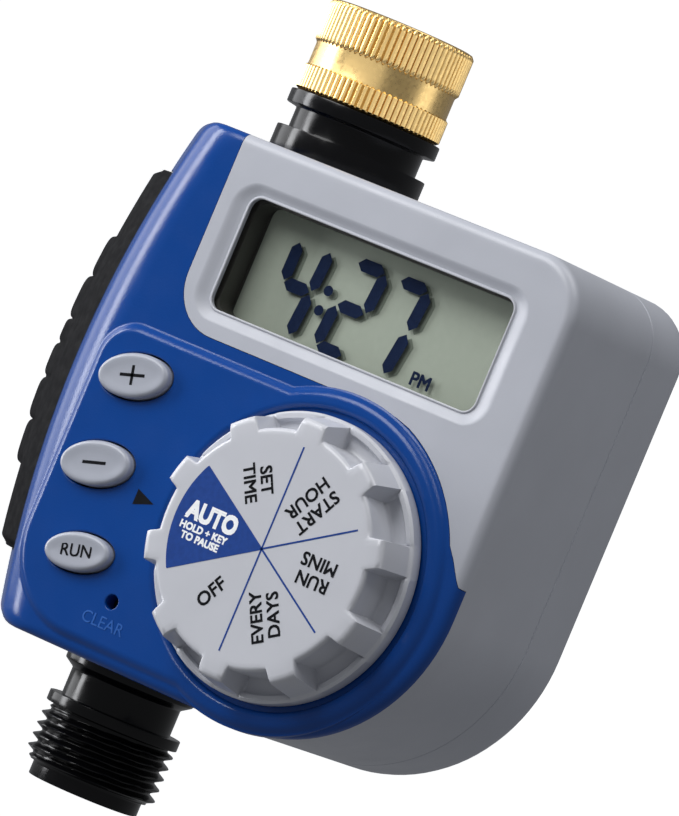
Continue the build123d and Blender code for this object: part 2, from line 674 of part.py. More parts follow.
def build():
    shell = front_shell()
    return {
        "coupling_nut": coupling_nut(),
        "hose_washer": hose_washer(),
        "filter_screen": filter_screen(),
        "inlet_tailpiece": inlet_tailpiece(),
        "inlet_collar": inlet_collar(),
        "inlet_oring": inlet_oring(),
        "front_cover": front_cover(shell),
        "front_housing": front_housing(shell),
        "rear_housing": rear_housing(),
        "housing_gasket": housing_gasket(),
        "housing_screws": housing_screws(),
        "display_window": display_window(),
        "lcd_holder": lcd_holder(),
        "lcd_glass": lcd_glass(),
        "lcd_contact_strip": lcd_contact_strip(),
        "lcd_board": lcd_board(),
        "main_board": main_board(),
        "board_screws": board_screws(),
        "board_ribbon": board_ribbon(),
        "keypad_mat": keypad_mat(),
        "plus_button": button(PLUS_BUTTON),
        "minus_button": button(MINUS_BUTTON),
        "run_button": button(RUN_BUTTON),
        "reset_switch": reset_switch(),
        "reset_stem": reset_stem(),
        "dial_knob": dial_knob(),
        "dial_detent_wheel": dial_detent_wheel(),
        "detent_spring": detent_spring(),
        "dial_wiper": dial_wiper(),
        "dial_screw": dial_screw(),
        "battery_tray": battery_tray(),
        "tray_grip": tray_grip(),
        "battery_cell_front": battery_cell(cell_places()[0]),
        "battery_cell_rear": battery_cell(cell_places()[1]),
        "tray_springs": tray_springs(),
        "tray_contacts": tray_contacts(),
        "battery_bay": battery_bay(),
        "bay_contacts": bay_contacts(),
        "valve_body": valve_body(),
        "diaphragm": diaphragm(),
        "diaphragm_disc": diaphragm_disc(),
        "diaphragm_spring": diaphragm_spring(),
        "valve_bonnet": valve_bonnet(),
        "bonnet_screws": bonnet_screws(),
        "plunger": plunger(),
        "plunger_spring": plunger_spring(),
        "solenoid_bobbin": solenoid_bobbin(),
        "solenoid_winding": solenoid_winding(),
        "solenoid_yoke": solenoid_yoke(),
        "latching_magnet": latching_magnet(),
        "solenoid_leads": solenoid_leads(),
        "outlet_spigot": outlet_spigot(),
        "outlet_oring": outlet_oring(),
    }


def solids_of(shape):
    if isinstance(shape, (list, ShapeList)):
        return [solid for item in shape for solid in item.solids()]
    return shape.solids()


os.makedirs("parts", exist_ok=True)
for node, shape in build().items():
    solids = solids_of(shape)
    export_step(solids[0] if len(solids) == 1 else Compound(children=solids), f"parts/{node}.step")
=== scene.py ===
import json
import math

import bmesh
import bpy
from bpy.props import FloatProperty, FloatVectorProperty, IntProperty, PointerProperty
from mathutils import Matrix, Vector, geometry


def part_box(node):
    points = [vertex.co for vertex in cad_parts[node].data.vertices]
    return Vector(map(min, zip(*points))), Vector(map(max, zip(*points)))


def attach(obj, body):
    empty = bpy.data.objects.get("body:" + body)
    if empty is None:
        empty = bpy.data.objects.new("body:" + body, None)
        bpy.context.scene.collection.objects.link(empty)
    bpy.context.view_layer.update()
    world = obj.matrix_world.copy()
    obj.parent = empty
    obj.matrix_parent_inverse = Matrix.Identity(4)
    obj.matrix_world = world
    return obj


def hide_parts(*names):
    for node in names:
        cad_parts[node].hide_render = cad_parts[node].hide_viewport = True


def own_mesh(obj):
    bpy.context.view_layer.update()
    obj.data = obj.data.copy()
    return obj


bl_info = {
    "name": "Hose Tap Water Timer",
    "version": (1, 0, 0),
    "blender": (4, 5, 0),
    "location": "3D View > Sidebar > Water Timer",
    "description": "Builds the visible pieces of a hose tap water timer round its packed frame",
    "category": "Add Mesh",
}

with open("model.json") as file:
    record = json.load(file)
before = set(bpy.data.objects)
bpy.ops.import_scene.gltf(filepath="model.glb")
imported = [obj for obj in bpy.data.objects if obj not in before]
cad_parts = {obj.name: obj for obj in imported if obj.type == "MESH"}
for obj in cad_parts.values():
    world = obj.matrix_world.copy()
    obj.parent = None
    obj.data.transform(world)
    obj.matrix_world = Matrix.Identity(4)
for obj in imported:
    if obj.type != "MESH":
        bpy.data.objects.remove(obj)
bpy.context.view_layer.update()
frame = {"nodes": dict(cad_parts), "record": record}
MM = 0.001


def box_mm(node):
    low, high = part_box(node)
    return Vector(low) / MM, Vector(high) / MM


def middle(node):
    low, high = box_mm(node)
    return (low + high) / 2


HOUSING_HIGH = box_mm("front_housing")[1]
REAR_HIGH = box_mm("rear_housing")[1]
COVER_LOW = box_mm("front_cover")[0]
NUT_LOW, NUT_HIGH = box_mm("coupling_nut")
OUTLET_LOW = box_mm("outlet_spigot")[0]
TRAY_LOW, TRAY_HIGH = box_mm("battery_tray")
DIAL_X, _, DIAL_Z = middle("dial_knob")


# ---- Nodes and colours ----

def linear(hex_colour, alpha=1.0):
    """An sRGB hex colour as the linear colour that a shader takes."""
    parts = [int(hex_colour[i:i + 2], 16) / 255 for i in (1, 3, 5)]
    return tuple(c / 12.92 if c <= 0.04045 else ((c + 0.055) / 1.055) ** 2.4 for c in parts) + (alpha,)


def per_metre(size_mm):
    """The scale of a pattern on Object coordinates whose features are size_mm across."""
    return 1 / (size_mm * MM)


def add(tree, kind, inputs=None, **settings):
    """Adds a node with its settings. An input is a plain value, or another node's output to link from."""
    node = tree.nodes.new(kind)
    for name, value in settings.items():
        setattr(node, name, value)
    for name, value in (inputs or {}).items():
        if isinstance(value, bpy.types.NodeSocket):
            tree.links.new(value, node.inputs[name])
        else:
            node.inputs[name].default_value = value
    return node


def new_material(name):
    """An empty node material with its shader joined to the output."""
    material = bpy.data.materials.new(name)
    material.use_nodes = True
    tree = material.node_tree
    tree.nodes.clear()
    shader = add(tree, "ShaderNodeBsdfPrincipled")
    add(tree, "ShaderNodeOutputMaterial", {"Surface": shader.outputs["BSDF"]})
    where = add(tree, "ShaderNodeTexCoord").outputs["Object"]
    return material, tree, shader, where


def mottle(tree, where, colour, other, size_mm, detail=3.0):
    """A colour that drifts slowly to another one over patches of a given size."""
    noise = add(tree, "ShaderNodeTexNoise", {"Vector": where, "Scale": per_metre(size_mm), "Detail": detail})
    ramp = add(tree, "ShaderNodeMapRange", {"Value": noise.outputs["Fac"], "From Min": 0.3, "From Max": 0.7})
    mix = add(tree, "ShaderNodeMix", {"Factor": ramp.outputs["Result"]}, data_type="RGBA")
    mix.inputs[6].default_value = colour
    mix.inputs[7].default_value = other
    return mix.outputs[2]


def spread(tree, where, low, high, size_mm):
    """A roughness that varies between two values over patches of a given size."""
    noise = add(tree, "ShaderNodeTexNoise", {"Vector": where, "Scale": per_metre(size_mm), "Detail": 4.0})
    sockets = {"Value": noise.outputs["Fac"], "From Min": 0.3, "From Max": 0.7, "To Min": low, "To Max": high}
    return add(tree, "ShaderNodeMapRange", sockets).outputs["Result"]


def grain(tree, where, size_mm, depth_mm, strength=1.0):
    """Bump of a fine moulded or blasted grain."""
    noise = add(tree, "ShaderNodeTexNoise", {"Vector": where, "Scale": per_metre(size_mm), "Detail": 2.0})
    sockets = {"Height": noise.outputs["Fac"], "Distance": depth_mm * MM, "Strength": strength}
    return add(tree, "ShaderNodeBump", sockets).outputs["Normal"]


def chosen(name):
    """A colour from the settings, and a slightly darker one for its patches."""
    colour = tuple(getattr(bpy.context.scene.timer_finishes, name))
    return colour, tuple(c * 0.95 for c in colour[:3]) + (1.0,)


def abs_plastic(name, colours, rough, grain_mm, depth_mm, sheen=0.5):
    """Moulded ABS from a spark-eroded tool: even colour, soft broken highlights."""
    material, tree, shader, where = new_material(name)
    tree.links.new(mottle(tree, where, *colours, 14.0), shader.inputs["Base Color"])
    tree.links.new(spread(tree, where, *rough, 6.0), shader.inputs["Roughness"])
    tree.links.new(grain(tree, where, grain_mm, depth_mm), shader.inputs["Normal"])
    shader.inputs["IOR"].default_value = 1.53
    shader.inputs["Specular IOR Level"].default_value = sheen
    return material


def blue_abs():
    # Fine matte texture: the edge highlight breaks into sparkling grains.
    return abs_plastic("Blue textured ABS", chosen("blue"), (0.17, 0.24), 0.35, 0.022, 0.32)


def grey_abs():
    # Silver-grey pigmented ABS, a little smoother than the blue.
    return abs_plastic("Silver grey ABS", chosen("grey"), (0.34, 0.44), 0.4, 0.008)


def light_grey_abs():
    # The dial and buttons: a shade lighter and satin, so their small round edges catch the light.
    return abs_plastic("Light grey satin ABS", chosen("light"), (0.28, 0.38), 0.5, 0.006)


def button_abs():
    # A shade darker than the dial, from the same satin tool finish.
    return abs_plastic("Mid grey satin ABS", chosen("button"), (0.28, 0.38), 0.5, 0.006)


def polished_rim():
    # The moulded lip round the window is polished, so it draws a thin bright line; its grey, lighter than the
    # housing, is a painted highlight.
    return abs_plastic("Polished grey ABS", chosen("light"), (0.08, 0.14), 3.0, 0.001)


def dark_abs():
    return abs_plastic("Charcoal ABS", (linear("#45453f"), linear("#3b3b37")), (0.42, 0.55), 0.3, 0.01)


def acetal():
    """Black acetal: dense and glossy, with faint flow marks from moulding."""
    material, tree, shader, where = new_material("Glossy black acetal")
    tree.links.new(mottle(tree, where, *chosen("black"), 5.0), shader.inputs["Base Color"])
    tree.links.new(spread(tree, where, 0.14, 0.24, 3.0), shader.inputs["Roughness"])
    tree.links.new(grain(tree, where, 1.4, 0.01, 0.5), shader.inputs["Normal"])
    shader.inputs["IOR"].default_value = 1.48
    shader.inputs["Specular IOR Level"].default_value = 0.3
    return material


def grip_rubber():
    """Thermoplastic rubber moulded over the tray: dark and dull, with faint patches."""
    material, tree, shader, where = new_material("Overmoulded grip rubber")
    tree.links.new(mottle(tree, where, *chosen("rubber"), 4.0), shader.inputs["Base Color"])
    tree.links.new(spread(tree, where, 0.55, 0.75, 2.0), shader.inputs["Roughness"])
    tree.links.new(grain(tree, where, 0.25, 0.01), shader.inputs["Normal"])
    shader.inputs["IOR"].default_value = 1.5
    shader.inputs["Specular IOR Level"].default_value = 0.04
    return material


def seal_rubber():
    """Nitrile rubber: black and dull."""
    material, tree, shader, where = new_material("Nitrile seal rubber")
    patches = mottle(tree, where, linear("#141414"), linear("#1d1d1d"), 2.0)
    tree.links.new(patches, shader.inputs["Base Color"])
    shader.inputs["Roughness"].default_value = 0.6
    tree.links.new(grain(tree, where, 0.3, 0.01), shader.inputs["Normal"])
    return material


def machined_brass():
    """Turned and knurled brass: warm yellow metal, darker where it has dulled, with fine turning rings."""
    material, tree, shader, where = new_material("Turned brass")
    shader.inputs["Metallic"].default_value = 1.0
    tree.links.new(mottle(tree, where, *chosen("brass"), 7.0, 2.0), shader.inputs["Base Color"])
    tree.links.new(spread(tree, where, 0.24, 0.38, 0.8), shader.inputs["Roughness"])
    rings = add(tree, "ShaderNodeTexWave", {"Vector": where, "Scale": per_metre(4.0), "Distortion": 1.2,
                                            "Detail": 2.0}, bands_direction="Z")
    sockets = {"Height": rings.outputs["Fac"], "Distance": 0.004 * MM, "Strength": 0.6}
    bump = add(tree, "ShaderNodeBump", sockets)
    tree.links.new(bump.outputs["Normal"], shader.inputs["Normal"])
    return material


def metal(name, colour, other, rough):
    """Plated or drawn metal with light handling marks."""
    material, tree, shader, where = new_material(name)
    shader.inputs["Metallic"].default_value = 1.0
    tree.links.new(mottle(tree, where, linear(colour), linear(other), 1.5), shader.inputs["Base Color"])
    tree.links.new(spread(tree, where, *rough, 1.0), shader.inputs["Roughness"])
    tree.links.new(grain(tree, where, 0.4, 0.004), shader.inputs["Normal"])
    return material


def clear_acrylic():
    """Polished acrylic: nearly invisible apart from its reflections."""
    material, tree, shader, where = new_material("Clear acrylic")
    shader.inputs["Base Color"].default_value = linear("#0c0d0c")
    tree.links.new(spread(tree, where, 0.02, 0.05, 9.0), shader.inputs["Roughness"])
    shader.inputs["IOR"].default_value = 1.49
    shader.inputs["Alpha"].default_value = 0.06
    return material


def lcd_reflector():
    """The reflective back of a liquid crystal cell: olive grey with a faint cloudy sparkle."""
    material, tree, shader, where = new_material("Liquid crystal reflector")
    tree.links.new(mottle(tree, where, *chosen("reflector"), 1.1, 6.0), shader.inputs["Base Color"])
    tree.links.new(spread(tree, where, 0.35, 0.5, 1.0), shader.inputs["Roughness"])
    return material


def print_ink(name, colour, other, sheen=0.15):
    """Pad-printed ink: thin and satin, slightly uneven in cover."""
    material, tree, shader, where = new_material(name)
    tree.links.new(mottle(tree, where, linear(colour), linear(other), 0.8), shader.inputs["Base Color"])
    tree.links.new(spread(tree, where, 0.55, 0.7, 1.0), shader.inputs["Roughness"])
    shader.inputs["Specular IOR Level"].default_value = sheen
    return material


def board_laminate():
    """Green solder mask over glass weave."""
    material, tree, shader, where = new_material("Solder-masked laminate")
    weave = mottle(tree, where, linear("#14512f"), linear("#1c6a3d"), 1.2, 5.0)
    tree.links.new(weave, shader.inputs["Base Color"])
    tree.links.new(spread(tree, where, 0.25, 0.4, 2.0), shader.inputs["Roughness"])
    return material


def mesh_wire():
    return metal("Woven stainless wire", "#b9bbbd", "#8d9092", (0.25, 0.4))


MATERIALS = {}


def materials():
    """Every finish, made once and kept by a short key."""
    if not MATERIALS:
        MATERIALS.update({
            "blue": blue_abs(), "grey": grey_abs(), "light": light_grey_abs(), "button": button_abs(),
            "rim": polished_rim(), "dark": dark_abs(),
            "acetal": acetal(), "grip": grip_rubber(), "seal": seal_rubber(), "brass": machined_brass(),
            "steel": metal("Zinc-plated steel", "#a9abae", "#93969a", (0.3, 0.45)),
            "spring": metal("Nickel-plated spring steel", "#c4c4c2", "#aeaeab", (0.2, 0.35)),
            "copper": metal("Enamelled copper wire", "#a8592f", "#8d4522", (0.3, 0.4)),
            "acrylic": clear_acrylic(), "lcd": lcd_reflector(), "board": board_laminate(),
            "wire": mesh_wire(),
            "silicone": abs_plastic("Moulded silicone", (linear("#8b8d90"), linear("#7f8184")),
                                    (0.5, 0.65), 0.5, 0.004),
            "wrap": abs_plastic("Printed cell wrap", (linear("#2f3b38"), linear("#27322f")),
                                (0.25, 0.35), 1.0, 0.002),
            "black ink": print_ink("Black pad print", "#0b0c10", "#101217", 0.08),
            "blue ink": print_ink("Blue pad print", "#1a428f", "#173c84"),
            # The raised word is coloured a lighter blue than the cover: a painted highlight on moulded
            # letters.
            "raised blue": print_ink("Raised blue lettering", "#2b62b3", "#2457a4"),
            "white ink": print_ink("White pad print", "#fbfcfd", "#f2f4f6"),
            "segment": print_ink("Liquid crystal segment", "#182440", "#1d2b4a", 0.03),
            # A painted shadow: a darker olive copy of the digits lying on the reflector.
            "segment shade": print_ink("Segment shade on the reflector", "#858f82", "#7d877a"),
        })
    return MATERIALS


# ---- Mesh making, in millimetres ----

class Form:
    """A mesh in the making: rings of points joined by faces, in millimetres."""

    def __init__(self):
        self.points = []
        self.faces = []

    def ring(self, points):
        start = len(self.points)
        self.points += [tuple(p) for p in points]
        return list(range(start, len(self.points)))

    def bridge(self, first, second, closed=True):
        count = len(first)
        for i in range(count if closed else count - 1):
            j = (i + 1) % count
            self.faces.append((first[i], first[j], second[j], second[i]))

    def bands(self, rings, closed=True, loop=False):
        """Joins rings one after the other, and the last to the first where loop is set."""
        for first, second in zip(rings, rings[1:] + rings[:1] if loop else rings[1:]):
            self.bridge(first, second, closed)

    def fill(self, outer, holes=(), axes=(0, 2)):
        """A flat face between an outer ring and any holes in it."""
        ids = list(outer) + [i for hole in holes for i in hole]
        flat = [Vector([self.points[i][a] for a in axes]) for i in ids]
        edges = []
        start = 0
        for loop in [outer, *holes]:
            count = len(loop)
            edges += [(start + i, start + (i + 1) % count) for i in range(count)]
            start += count
        places, _, faces, origins, _, _ = geometry.delaunay_2d_cdt(flat, edges, [], 0, 1e-7)
        if len(origins) != len(ids):
            raise ValueError("the outlines of a flat face cross each other")
        for face in faces:
            centre = sum((places[i] for i in face), Vector((0.0, 0.0))) / len(face)
            if within(centre, [(flat[a], flat[b]) for a, b in edges]):
                self.faces.append([ids[origins[i][0]] for i in face])

    def slab(self, outer, holes, front, back):
        """A plate with straight walls, drawn in the front view as (x, z) loops."""
        ends = []
        for y in (front, back):
            loops = [self.ring([(x, y, z) for x, z in loop]) for loop in [outer, *holes]]
            self.fill(loops[0], loops[1:])
            ends.append(loops)
        for first, second in zip(*ends):
            self.bridge(first, second)

    def lathe(self, profile, steps=96, centre=(0.0, 0.0)):
        """A turned shape about a vertical axis: profile is (radius, z) from end to end, closed on itself."""
        rings = []
        for radius, z in profile:
            rings.append(self.ring([(centre[0] + radius * math.cos(a), centre[1] + radius * math.sin(a), z)
                                    for a in turn(steps)]))
        self.bands(rings, loop=True)

    def mesh(self, name, sharp=32.0):
        """The finished mesh in metres, with merged points, outward faces and sharp edges marked."""
        mesh = bpy.data.meshes.new(name)
        mesh.from_pydata([[c * MM for c in p] for p in self.points], [], self.faces)
        return tidy(mesh, sharp)


def tidy(mesh, sharp=32.0):
    form = bmesh.new()
    form.from_mesh(mesh)
    bmesh.ops.remove_doubles(form, verts=form.verts, dist=1e-6)
    bmesh.ops.dissolve_degenerate(form, edges=form.edges, dist=1e-7)
    bmesh.ops.recalc_face_normals(form, faces=form.faces)
    form.to_mesh(mesh)
    form.free()
    mesh.shade_smooth()
    mesh.set_sharp_from_angle(angle=math.radians(sharp))
    mesh.update()
    return mesh


def within(point, edges):
    """Whether a point lies inside an outline and outside the holes in it."""
    inside = False
    for a, b in edges:
        if (a.y > point.y) != (b.y > point.y):
            if point.x < a.x + (b.x - a.x) * (point.y - a.y) / (b.y - a.y):
                inside = not inside
    return inside


def turn(steps, start=0.0):
    """Evenly spaced angles round a full turn."""
    return [start + 2 * math.pi * i / steps for i in range(steps)]


def arc(x, z, radius, start, sweep, steps):
    """Points on an arc in the front view, angles in degrees, both ends included."""
    angles = [math.radians(start + sweep * i / steps) for i in range(steps + 1)]
    return [(x + radius * math.cos(a), z + radius * math.sin(a)) for a in angles]


def circle(x, z, radius, steps=96):
    return [(x + radius * math.cos(a), z + radius * math.sin(a)) for a in turn(steps)]


def oval(x, z, width, height, tilt, grow=0.0, steps=72):
    """A tilted ellipse in the front view, grown outward by a margin."""
    c, s = math.cos(math.radians(tilt)), math.sin(math.radians(tilt))
    points = []
    for a in turn(steps):
        u, v = (width / 2 + grow) * math.cos(a), (height / 2 + grow) * math.sin(a)
        points.append((x + u * c - v * s, z + u * s + v * c))
    return points


def rounded(x0, x1, z0, z1, radius, steps=8):
    """A rectangle with rounded corners, always the same number of points."""
    loop = []
    for cx, cz, start in ((x1 - radius, z1 - radius, 0), (x0 + radius, z1 - radius, 90),
                          (x0 + radius, z0 + radius, 180), (x1 - radius, z0 + radius, 270)):
        loop += arc(cx, cz, radius, start, 90, steps)
    return loop


def blend(first, second, share):
    """A loop part of the way from one loop to another with as many points."""
    return [(a[0] + (b[0] - a[0]) * share, a[1] + (b[1] - a[1]) * share) for a, b in zip(first, second)]


def grown(loop, margin):
    """A closed loop moved outward by a margin, mitred at its corners."""
    area = sum(a[0] * b[1] - b[0] * a[1] for a, b in zip(loop, loop[1:] + loop[:1]))
    side = 1 if area > 0 else -1
    count = len(loop)
    result = []
    for i in range(count):
        before, here, after = Vector(loop[i - 1]), Vector(loop[i]), Vector(loop[(i + 1) % count])
        into, out = (here - before).normalized(), (after - here).normalized()
        mitre = (Vector((into.y, -into.x)) + Vector((out.y, -out.x))).normalized()
        lean = max(0.5, mitre.dot(Vector((out.y, -out.x))))
        point = here + mitre * (side * margin / lean)
        result.append((point.x, point.y))
    return result


def deep(loop, y):
    return [(x, y, z) for x, z in loop]


def ease(value):
    """0 below 0, 1 above 1, and a smooth step between."""
    value = min(1.0, max(0.0, value))
    return value * value * (3 - 2 * value)


def show(mesh, name, body, slot, material, *nodes):
    """Puts a finished mesh into the scene as one piece that rides on its body and stands for CAD nodes."""
    piece = bpy.data.objects.new(name, mesh)
    bpy.context.scene.collection.objects.link(piece)
    mesh.materials.clear()
    mesh.materials.append(materials()[material])
    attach(piece, body)
    if nodes:
        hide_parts(*nodes)
    return piece


def evaluated(piece, name):
    """The mesh that a piece's modifiers give, as plain data; the piece is then removed."""
    graph = bpy.context.evaluated_depsgraph_get()
    mesh = bpy.data.meshes.new_from_object(piece.evaluated_get(graph))
    mesh.name = name
    bpy.data.objects.remove(piece)
    return mesh


def carve(mesh, *steps):
    """A mesh cut or kept by closed cutter meshes in turn: each step is (operation, cutter mesh)."""
    target = bpy.data.objects.new("carved", mesh)
    bpy.context.scene.collection.objects.link(target)
    cutters = []
    for operation, cutter in steps:
        tool = bpy.data.objects.new("cutter", cutter)
        bpy.context.scene.collection.objects.link(tool)
        cutters.append(tool)
        modifier = target.modifiers.new("carve", "BOOLEAN")
        modifier.operation = operation
        modifier.solver = "EXACT"
        modifier.object = tool
    result = evaluated(target, "carved")
    for tool in cutters:
        bpy.data.objects.remove(tool)
    return result


def joined(*meshes):
    """One mesh from several."""
    form = bmesh.new()
    for mesh in meshes:
        form.from_mesh(mesh)
    result = bpy.data.meshes.new("joined")
    form.to_mesh(result)
    form.free()
    return result


def lettering(text, size, bold=0.0):
    """A word as a flat mesh in the XY plane, centred on its middle. A bold one is struck four times."""
    curve = bpy.data.curves.new("word", "FONT")
    curve.body = text
    curve.size = size
    curve.align_x = "CENTER"
    curve.align_y = "CENTER"
    curve.extrude = 0.02
    curve.resolution_u = 3
    word = bpy.data.objects.new("word", curve)
    bpy.context.scene.collection.objects.link(word)
    mesh = evaluated(word, "word")
    if not bold:
        return mesh
    strikes = []
    for level, (x, y) in enumerate(((-bold, -bold), (bold, -bold), (bold, bold), (-bold, bold))):
        strike = mesh.copy()
        strike.transform(Matrix.Translation((x, y, 0.006 * level)))
        strikes.append(strike)
    return joined(*strikes)


def on_front(mesh, x, y, z, angle=0.0, width=1.0):
    """Stands a flat mesh up in the front view at a place in millimetres, turned by an angle."""
    upright = Matrix.Rotation(math.radians(90), 4, "X")
    turned = Matrix.Rotation(math.radians(angle), 4, "Z") @ Matrix.Diagonal((width, 1, 1, 1))
    mesh.transform(Matrix.Scale(MM, 4) @ Matrix.Translation((x, y, z)) @ upright @ turned)
    return mesh


# ---- Settings that a user would change ----

def size(name, description, default_mm):
    """A length property, shown in the scene's unit and given here in millimetres."""
    return FloatProperty(name=name, description=description, default=default_mm * MM, min=0.0, precision=5,
                         subtype="DISTANCE", unit="LENGTH")


def colour(name, description, hex_colour):
    """A colour property with an sRGB hex default."""
    return FloatVectorProperty(name=name, description=description, default=linear(hex_colour), size=4,
                               min=0.0, max=1.0, subtype="COLOR")


class TimerFinishes(bpy.types.PropertyGroup):
    blue: colour("Cover", "Blue of the front cover", "#043f8b")
    grey: colour("Housing", "Silver grey of the housing", "#b3b6bf")
    light: colour("Dial", "Light grey of the dial", "#c4c6cd")
    button: colour("Buttons", "Grey of the three buttons", "#a2a6b1")
    brass: colour("Brass", "Colour of the coupling nut", "#f3d08c")
    black: colour("Fittings", "Black of the inlet and outlet fittings", "#060608")
    rubber: colour("Grip", "Dark rubber of the battery tray's grip", "#151517")
    reflector: colour("Display", "Olive grey behind the digits", "#b4beae")


class TimerCase(bpy.types.PropertyGroup):
    front_edge: size("Front edge", "Rounding of the front face's edge", 2.0)
    back_edge: size("Back edge", "Rounding of the back face's edge", 8.0)
    left_edge: size("Left edge", "Rounding where the front turns into the left flank", 12.0)
    top_corner: size("Top corner", "Radius of the case's top right corner", 11.0)
    low_corner: size("Low corner", "Radius of the case's bottom right corner", 33.5)
    bow: size("Left bow", "How far the left side bulges at its middle", 7.0)
    wall: size("Wall", "Thickness of the case's walls", 2.2)
    parting: size("Parting gap", "Gap between the blue cover and the grey housing", 0.12)


class TimerPanel(bpy.types.PropertyGroup):
    rise: size("Panel rise", "How far the control panel stands above the cover", 1.2)
    well: size("Dial well", "Radius of the hollow that the dial turns in", 28.2)
    ring: size("Dial ring", "Outer radius of the raised ring round the dial", 31.6)
    button_gap: size("Button gap", "Gap round each button", 0.3)
    pinhole: size("Reset hole", "Radius of the hole over the reset switch", 1.4)


class TimerDial(bpy.types.PropertyGroup):
    lugs: IntProperty(name="Lugs", description="Grips round the dial", default=10, min=3, max=24)
    line: size("Line width", "Width of the lines that divide the dial", 0.35)


class TimerThread(bpy.types.PropertyGroup):
    knurls: IntProperty(name="Knurls", description="Grip bars in each band of the nut", default=76, min=12,
                        max=160)
    bar: size("Knurl radius", "Half the width of one grip bar", 0.6)
    pitch: size("Pitch", "Distance between two turns of the outlet thread", 2.209)
    crest: size("Thread crest", "Outer radius of the outlet thread", 13.24)
    root: size("Thread root", "Inner radius of the outlet thread", 11.78)


def settings(group):
    """A settings group of this scene, with its lengths turned into millimetres."""
    source = getattr(bpy.context.scene, group)
    result = {}
    for name in source.__annotations__:
        value = getattr(source, name)
        result[name] = value / MM if isinstance(value, float) else value
    return result


# ---- Case ----

TOP, BOTTOM, RIGHT = HOUSING_HIGH.z, COVER_LOW.z, HOUSING_HIGH.x
# Y of the flat front, the flat back and the seam; X of the left side at the seam
FRONT = -31.0
BACK = REAR_HIGH.y
SEAM = 0.0
FLANK_FOOT = -33.5
# (x, z, width, height, tilt) of each button's oval
BUTTONS = {
    "plus": (-4.1, -80.3, 15.4, 8.6, 15.0),
    "minus": (-4.4, -98.0, 15.4, 8.6, 15.0),
    "run": (-0.5, -114.4, 14.4, 7.4, 13.0),
}
BUTTON_TOP, BUTTON_MARK, BUTTON_FOOT = -34.0, -33.82, -28.8
RESET = (10.0, -120.4)
# The flat front and the straight left flank would meet at CORNER_X. The rounding between them turns through
# FLANK_TURN degrees, so its centre lies further right by the tangent of half that angle times its radius.
FLANK_TURN = 54.5
CORNER_X, HALF_TANGENT = -18.88, 0.516
# (x, y) where the straight flank ends
FLANK_END = (-31.0, -14.0)
# Y of both ends of the cutters that pass through the front wall
CUT = (-40.0, -20.0)
SCREW_BOSS, SCREW_COUNTERBORE = 4.0, 2.9
SCREWS = ((-15.5, -35.4), (40.0, -35.3), (71.8, -48.0), (71.8, -92.0), (36.0, -127.4), (-15.0, -127.4))


def case_loop(left, inset, case):
    """The case's outline in the front view, for a left edge at mid height and an inset of the other sides."""
    top, bottom, right = TOP - inset, BOTTOM + inset, RIGHT - inset
    middle_z, half = (TOP + BOTTOM) / 2, (TOP - BOTTOM) / 2
    top_corner, low_corner = case["top_corner"] - inset, case["low_corner"] - inset
    corner = 3.0

    def edge(z):
        return left + case["bow"] * ((z - middle_z) / half) ** 2

    def turned(ends, bend):
        (ax, az), (bx, bz) = ends
        shares = [i / 6 for i in range(7)]
        return [((1 - t) ** 2 * ax + 2 * t * (1 - t) * bend[0] + t * t * bx,
                 (1 - t) ** 2 * az + 2 * t * (1 - t) * bend[1] + t * t * bz) for t in shares]

    loop = arc(right - low_corner, bottom + low_corner, low_corner, -90, 90, 24)
    loop += arc(right - top_corner, top - top_corner, top_corner, 0, 90, 12)
    loop += turned(((edge(top) + corner, top), (edge(top - corner), top - corner)), (edge(top), top))
    low, high = bottom + corner, top - corner
    loop += [(edge(high + (low - high) * i / 40), high + (low - high) * i / 40) for i in range(1, 40)]
    loop += turned(((edge(low), low), (edge(bottom) + corner, bottom)), (edge(bottom), bottom))
    return loop


def front_stations(case):
    """(y, left, inset) from the flat front face back to the seam."""
    radius, edge = case["left_edge"], case["front_edge"]
    centre_x, centre_y = CORNER_X + HALF_TANGENT * radius, FRONT + radius
    stations = []
    for i in range(10):
        angle = math.radians(FLANK_TURN * i / 9)
        y = centre_y - radius * math.cos(angle)
        reach = min(0.0, y - (FRONT + edge))
        inset = edge - math.sqrt(max(0.0, edge ** 2 - reach ** 2))
        stations.append((y, centre_x - radius * math.sin(angle), inset))
    start_y, start_x = stations[-1][:2]
    end_x, end_y = FLANK_END
    for share in (0.25, 0.5, 0.75, 1.0):
        stations.append((start_y + (end_y - start_y) * share, start_x + (end_x - start_x) * share, 0.0))
    bend = [FLANK_END, (-33.0, -11.1), (FLANK_FOOT, -8.0), (FLANK_FOOT, -4.0)]
    for i in range(1, 7):
        t = i / 6
        weights = ((1 - t) ** 3, 3 * t * (1 - t) ** 2, 3 * t * t * (1 - t), t ** 3)
        x, y = (sum(w * p[k] for w, p in zip(weights, bend)) for k in (0, 1))
        stations.append((y, x, 0.0))
    return stations + [(SEAM - 0.25, FLANK_FOOT, 0.0), (SEAM, FLANK_FOOT + 0.25, 0.25)]


def back_stations(case):
    """(y, left, inset) from the seam back to the flat rear face."""
    edge = case["back_edge"]
    stations = [(SEAM, FLANK_FOOT + 0.25, 0.25), (SEAM + 0.25, FLANK_FOOT, 0.0)]
    for i in range(17):
        angle = math.radians(90 * i / 16)
        y = 4.0 + (BACK - 4.0) * math.sin(angle)
        lean = min(1.0, max(0.0, (y - (BACK - edge)) / edge))
        stations.append((y, -20.0 - 13.5 * math.cos(angle), edge - edge * math.sqrt(1 - lean * lean)))
    return stations


def shell(name, outer, inner, case):
    """Half a case: the outer skin from its flat face to the seam, and the hollow inside it."""
    form = Form()
    rings = [form.ring(deep(case_loop(left, inset, case), y)) for y, left, inset in outer]
    rings += [form.ring(deep(case_loop(left, inset, case), y)) for y, left, inset in inner]
    form.bands(rings)
    form.fill(rings[0])
    form.fill(rings[-1])
    return form.mesh(name)


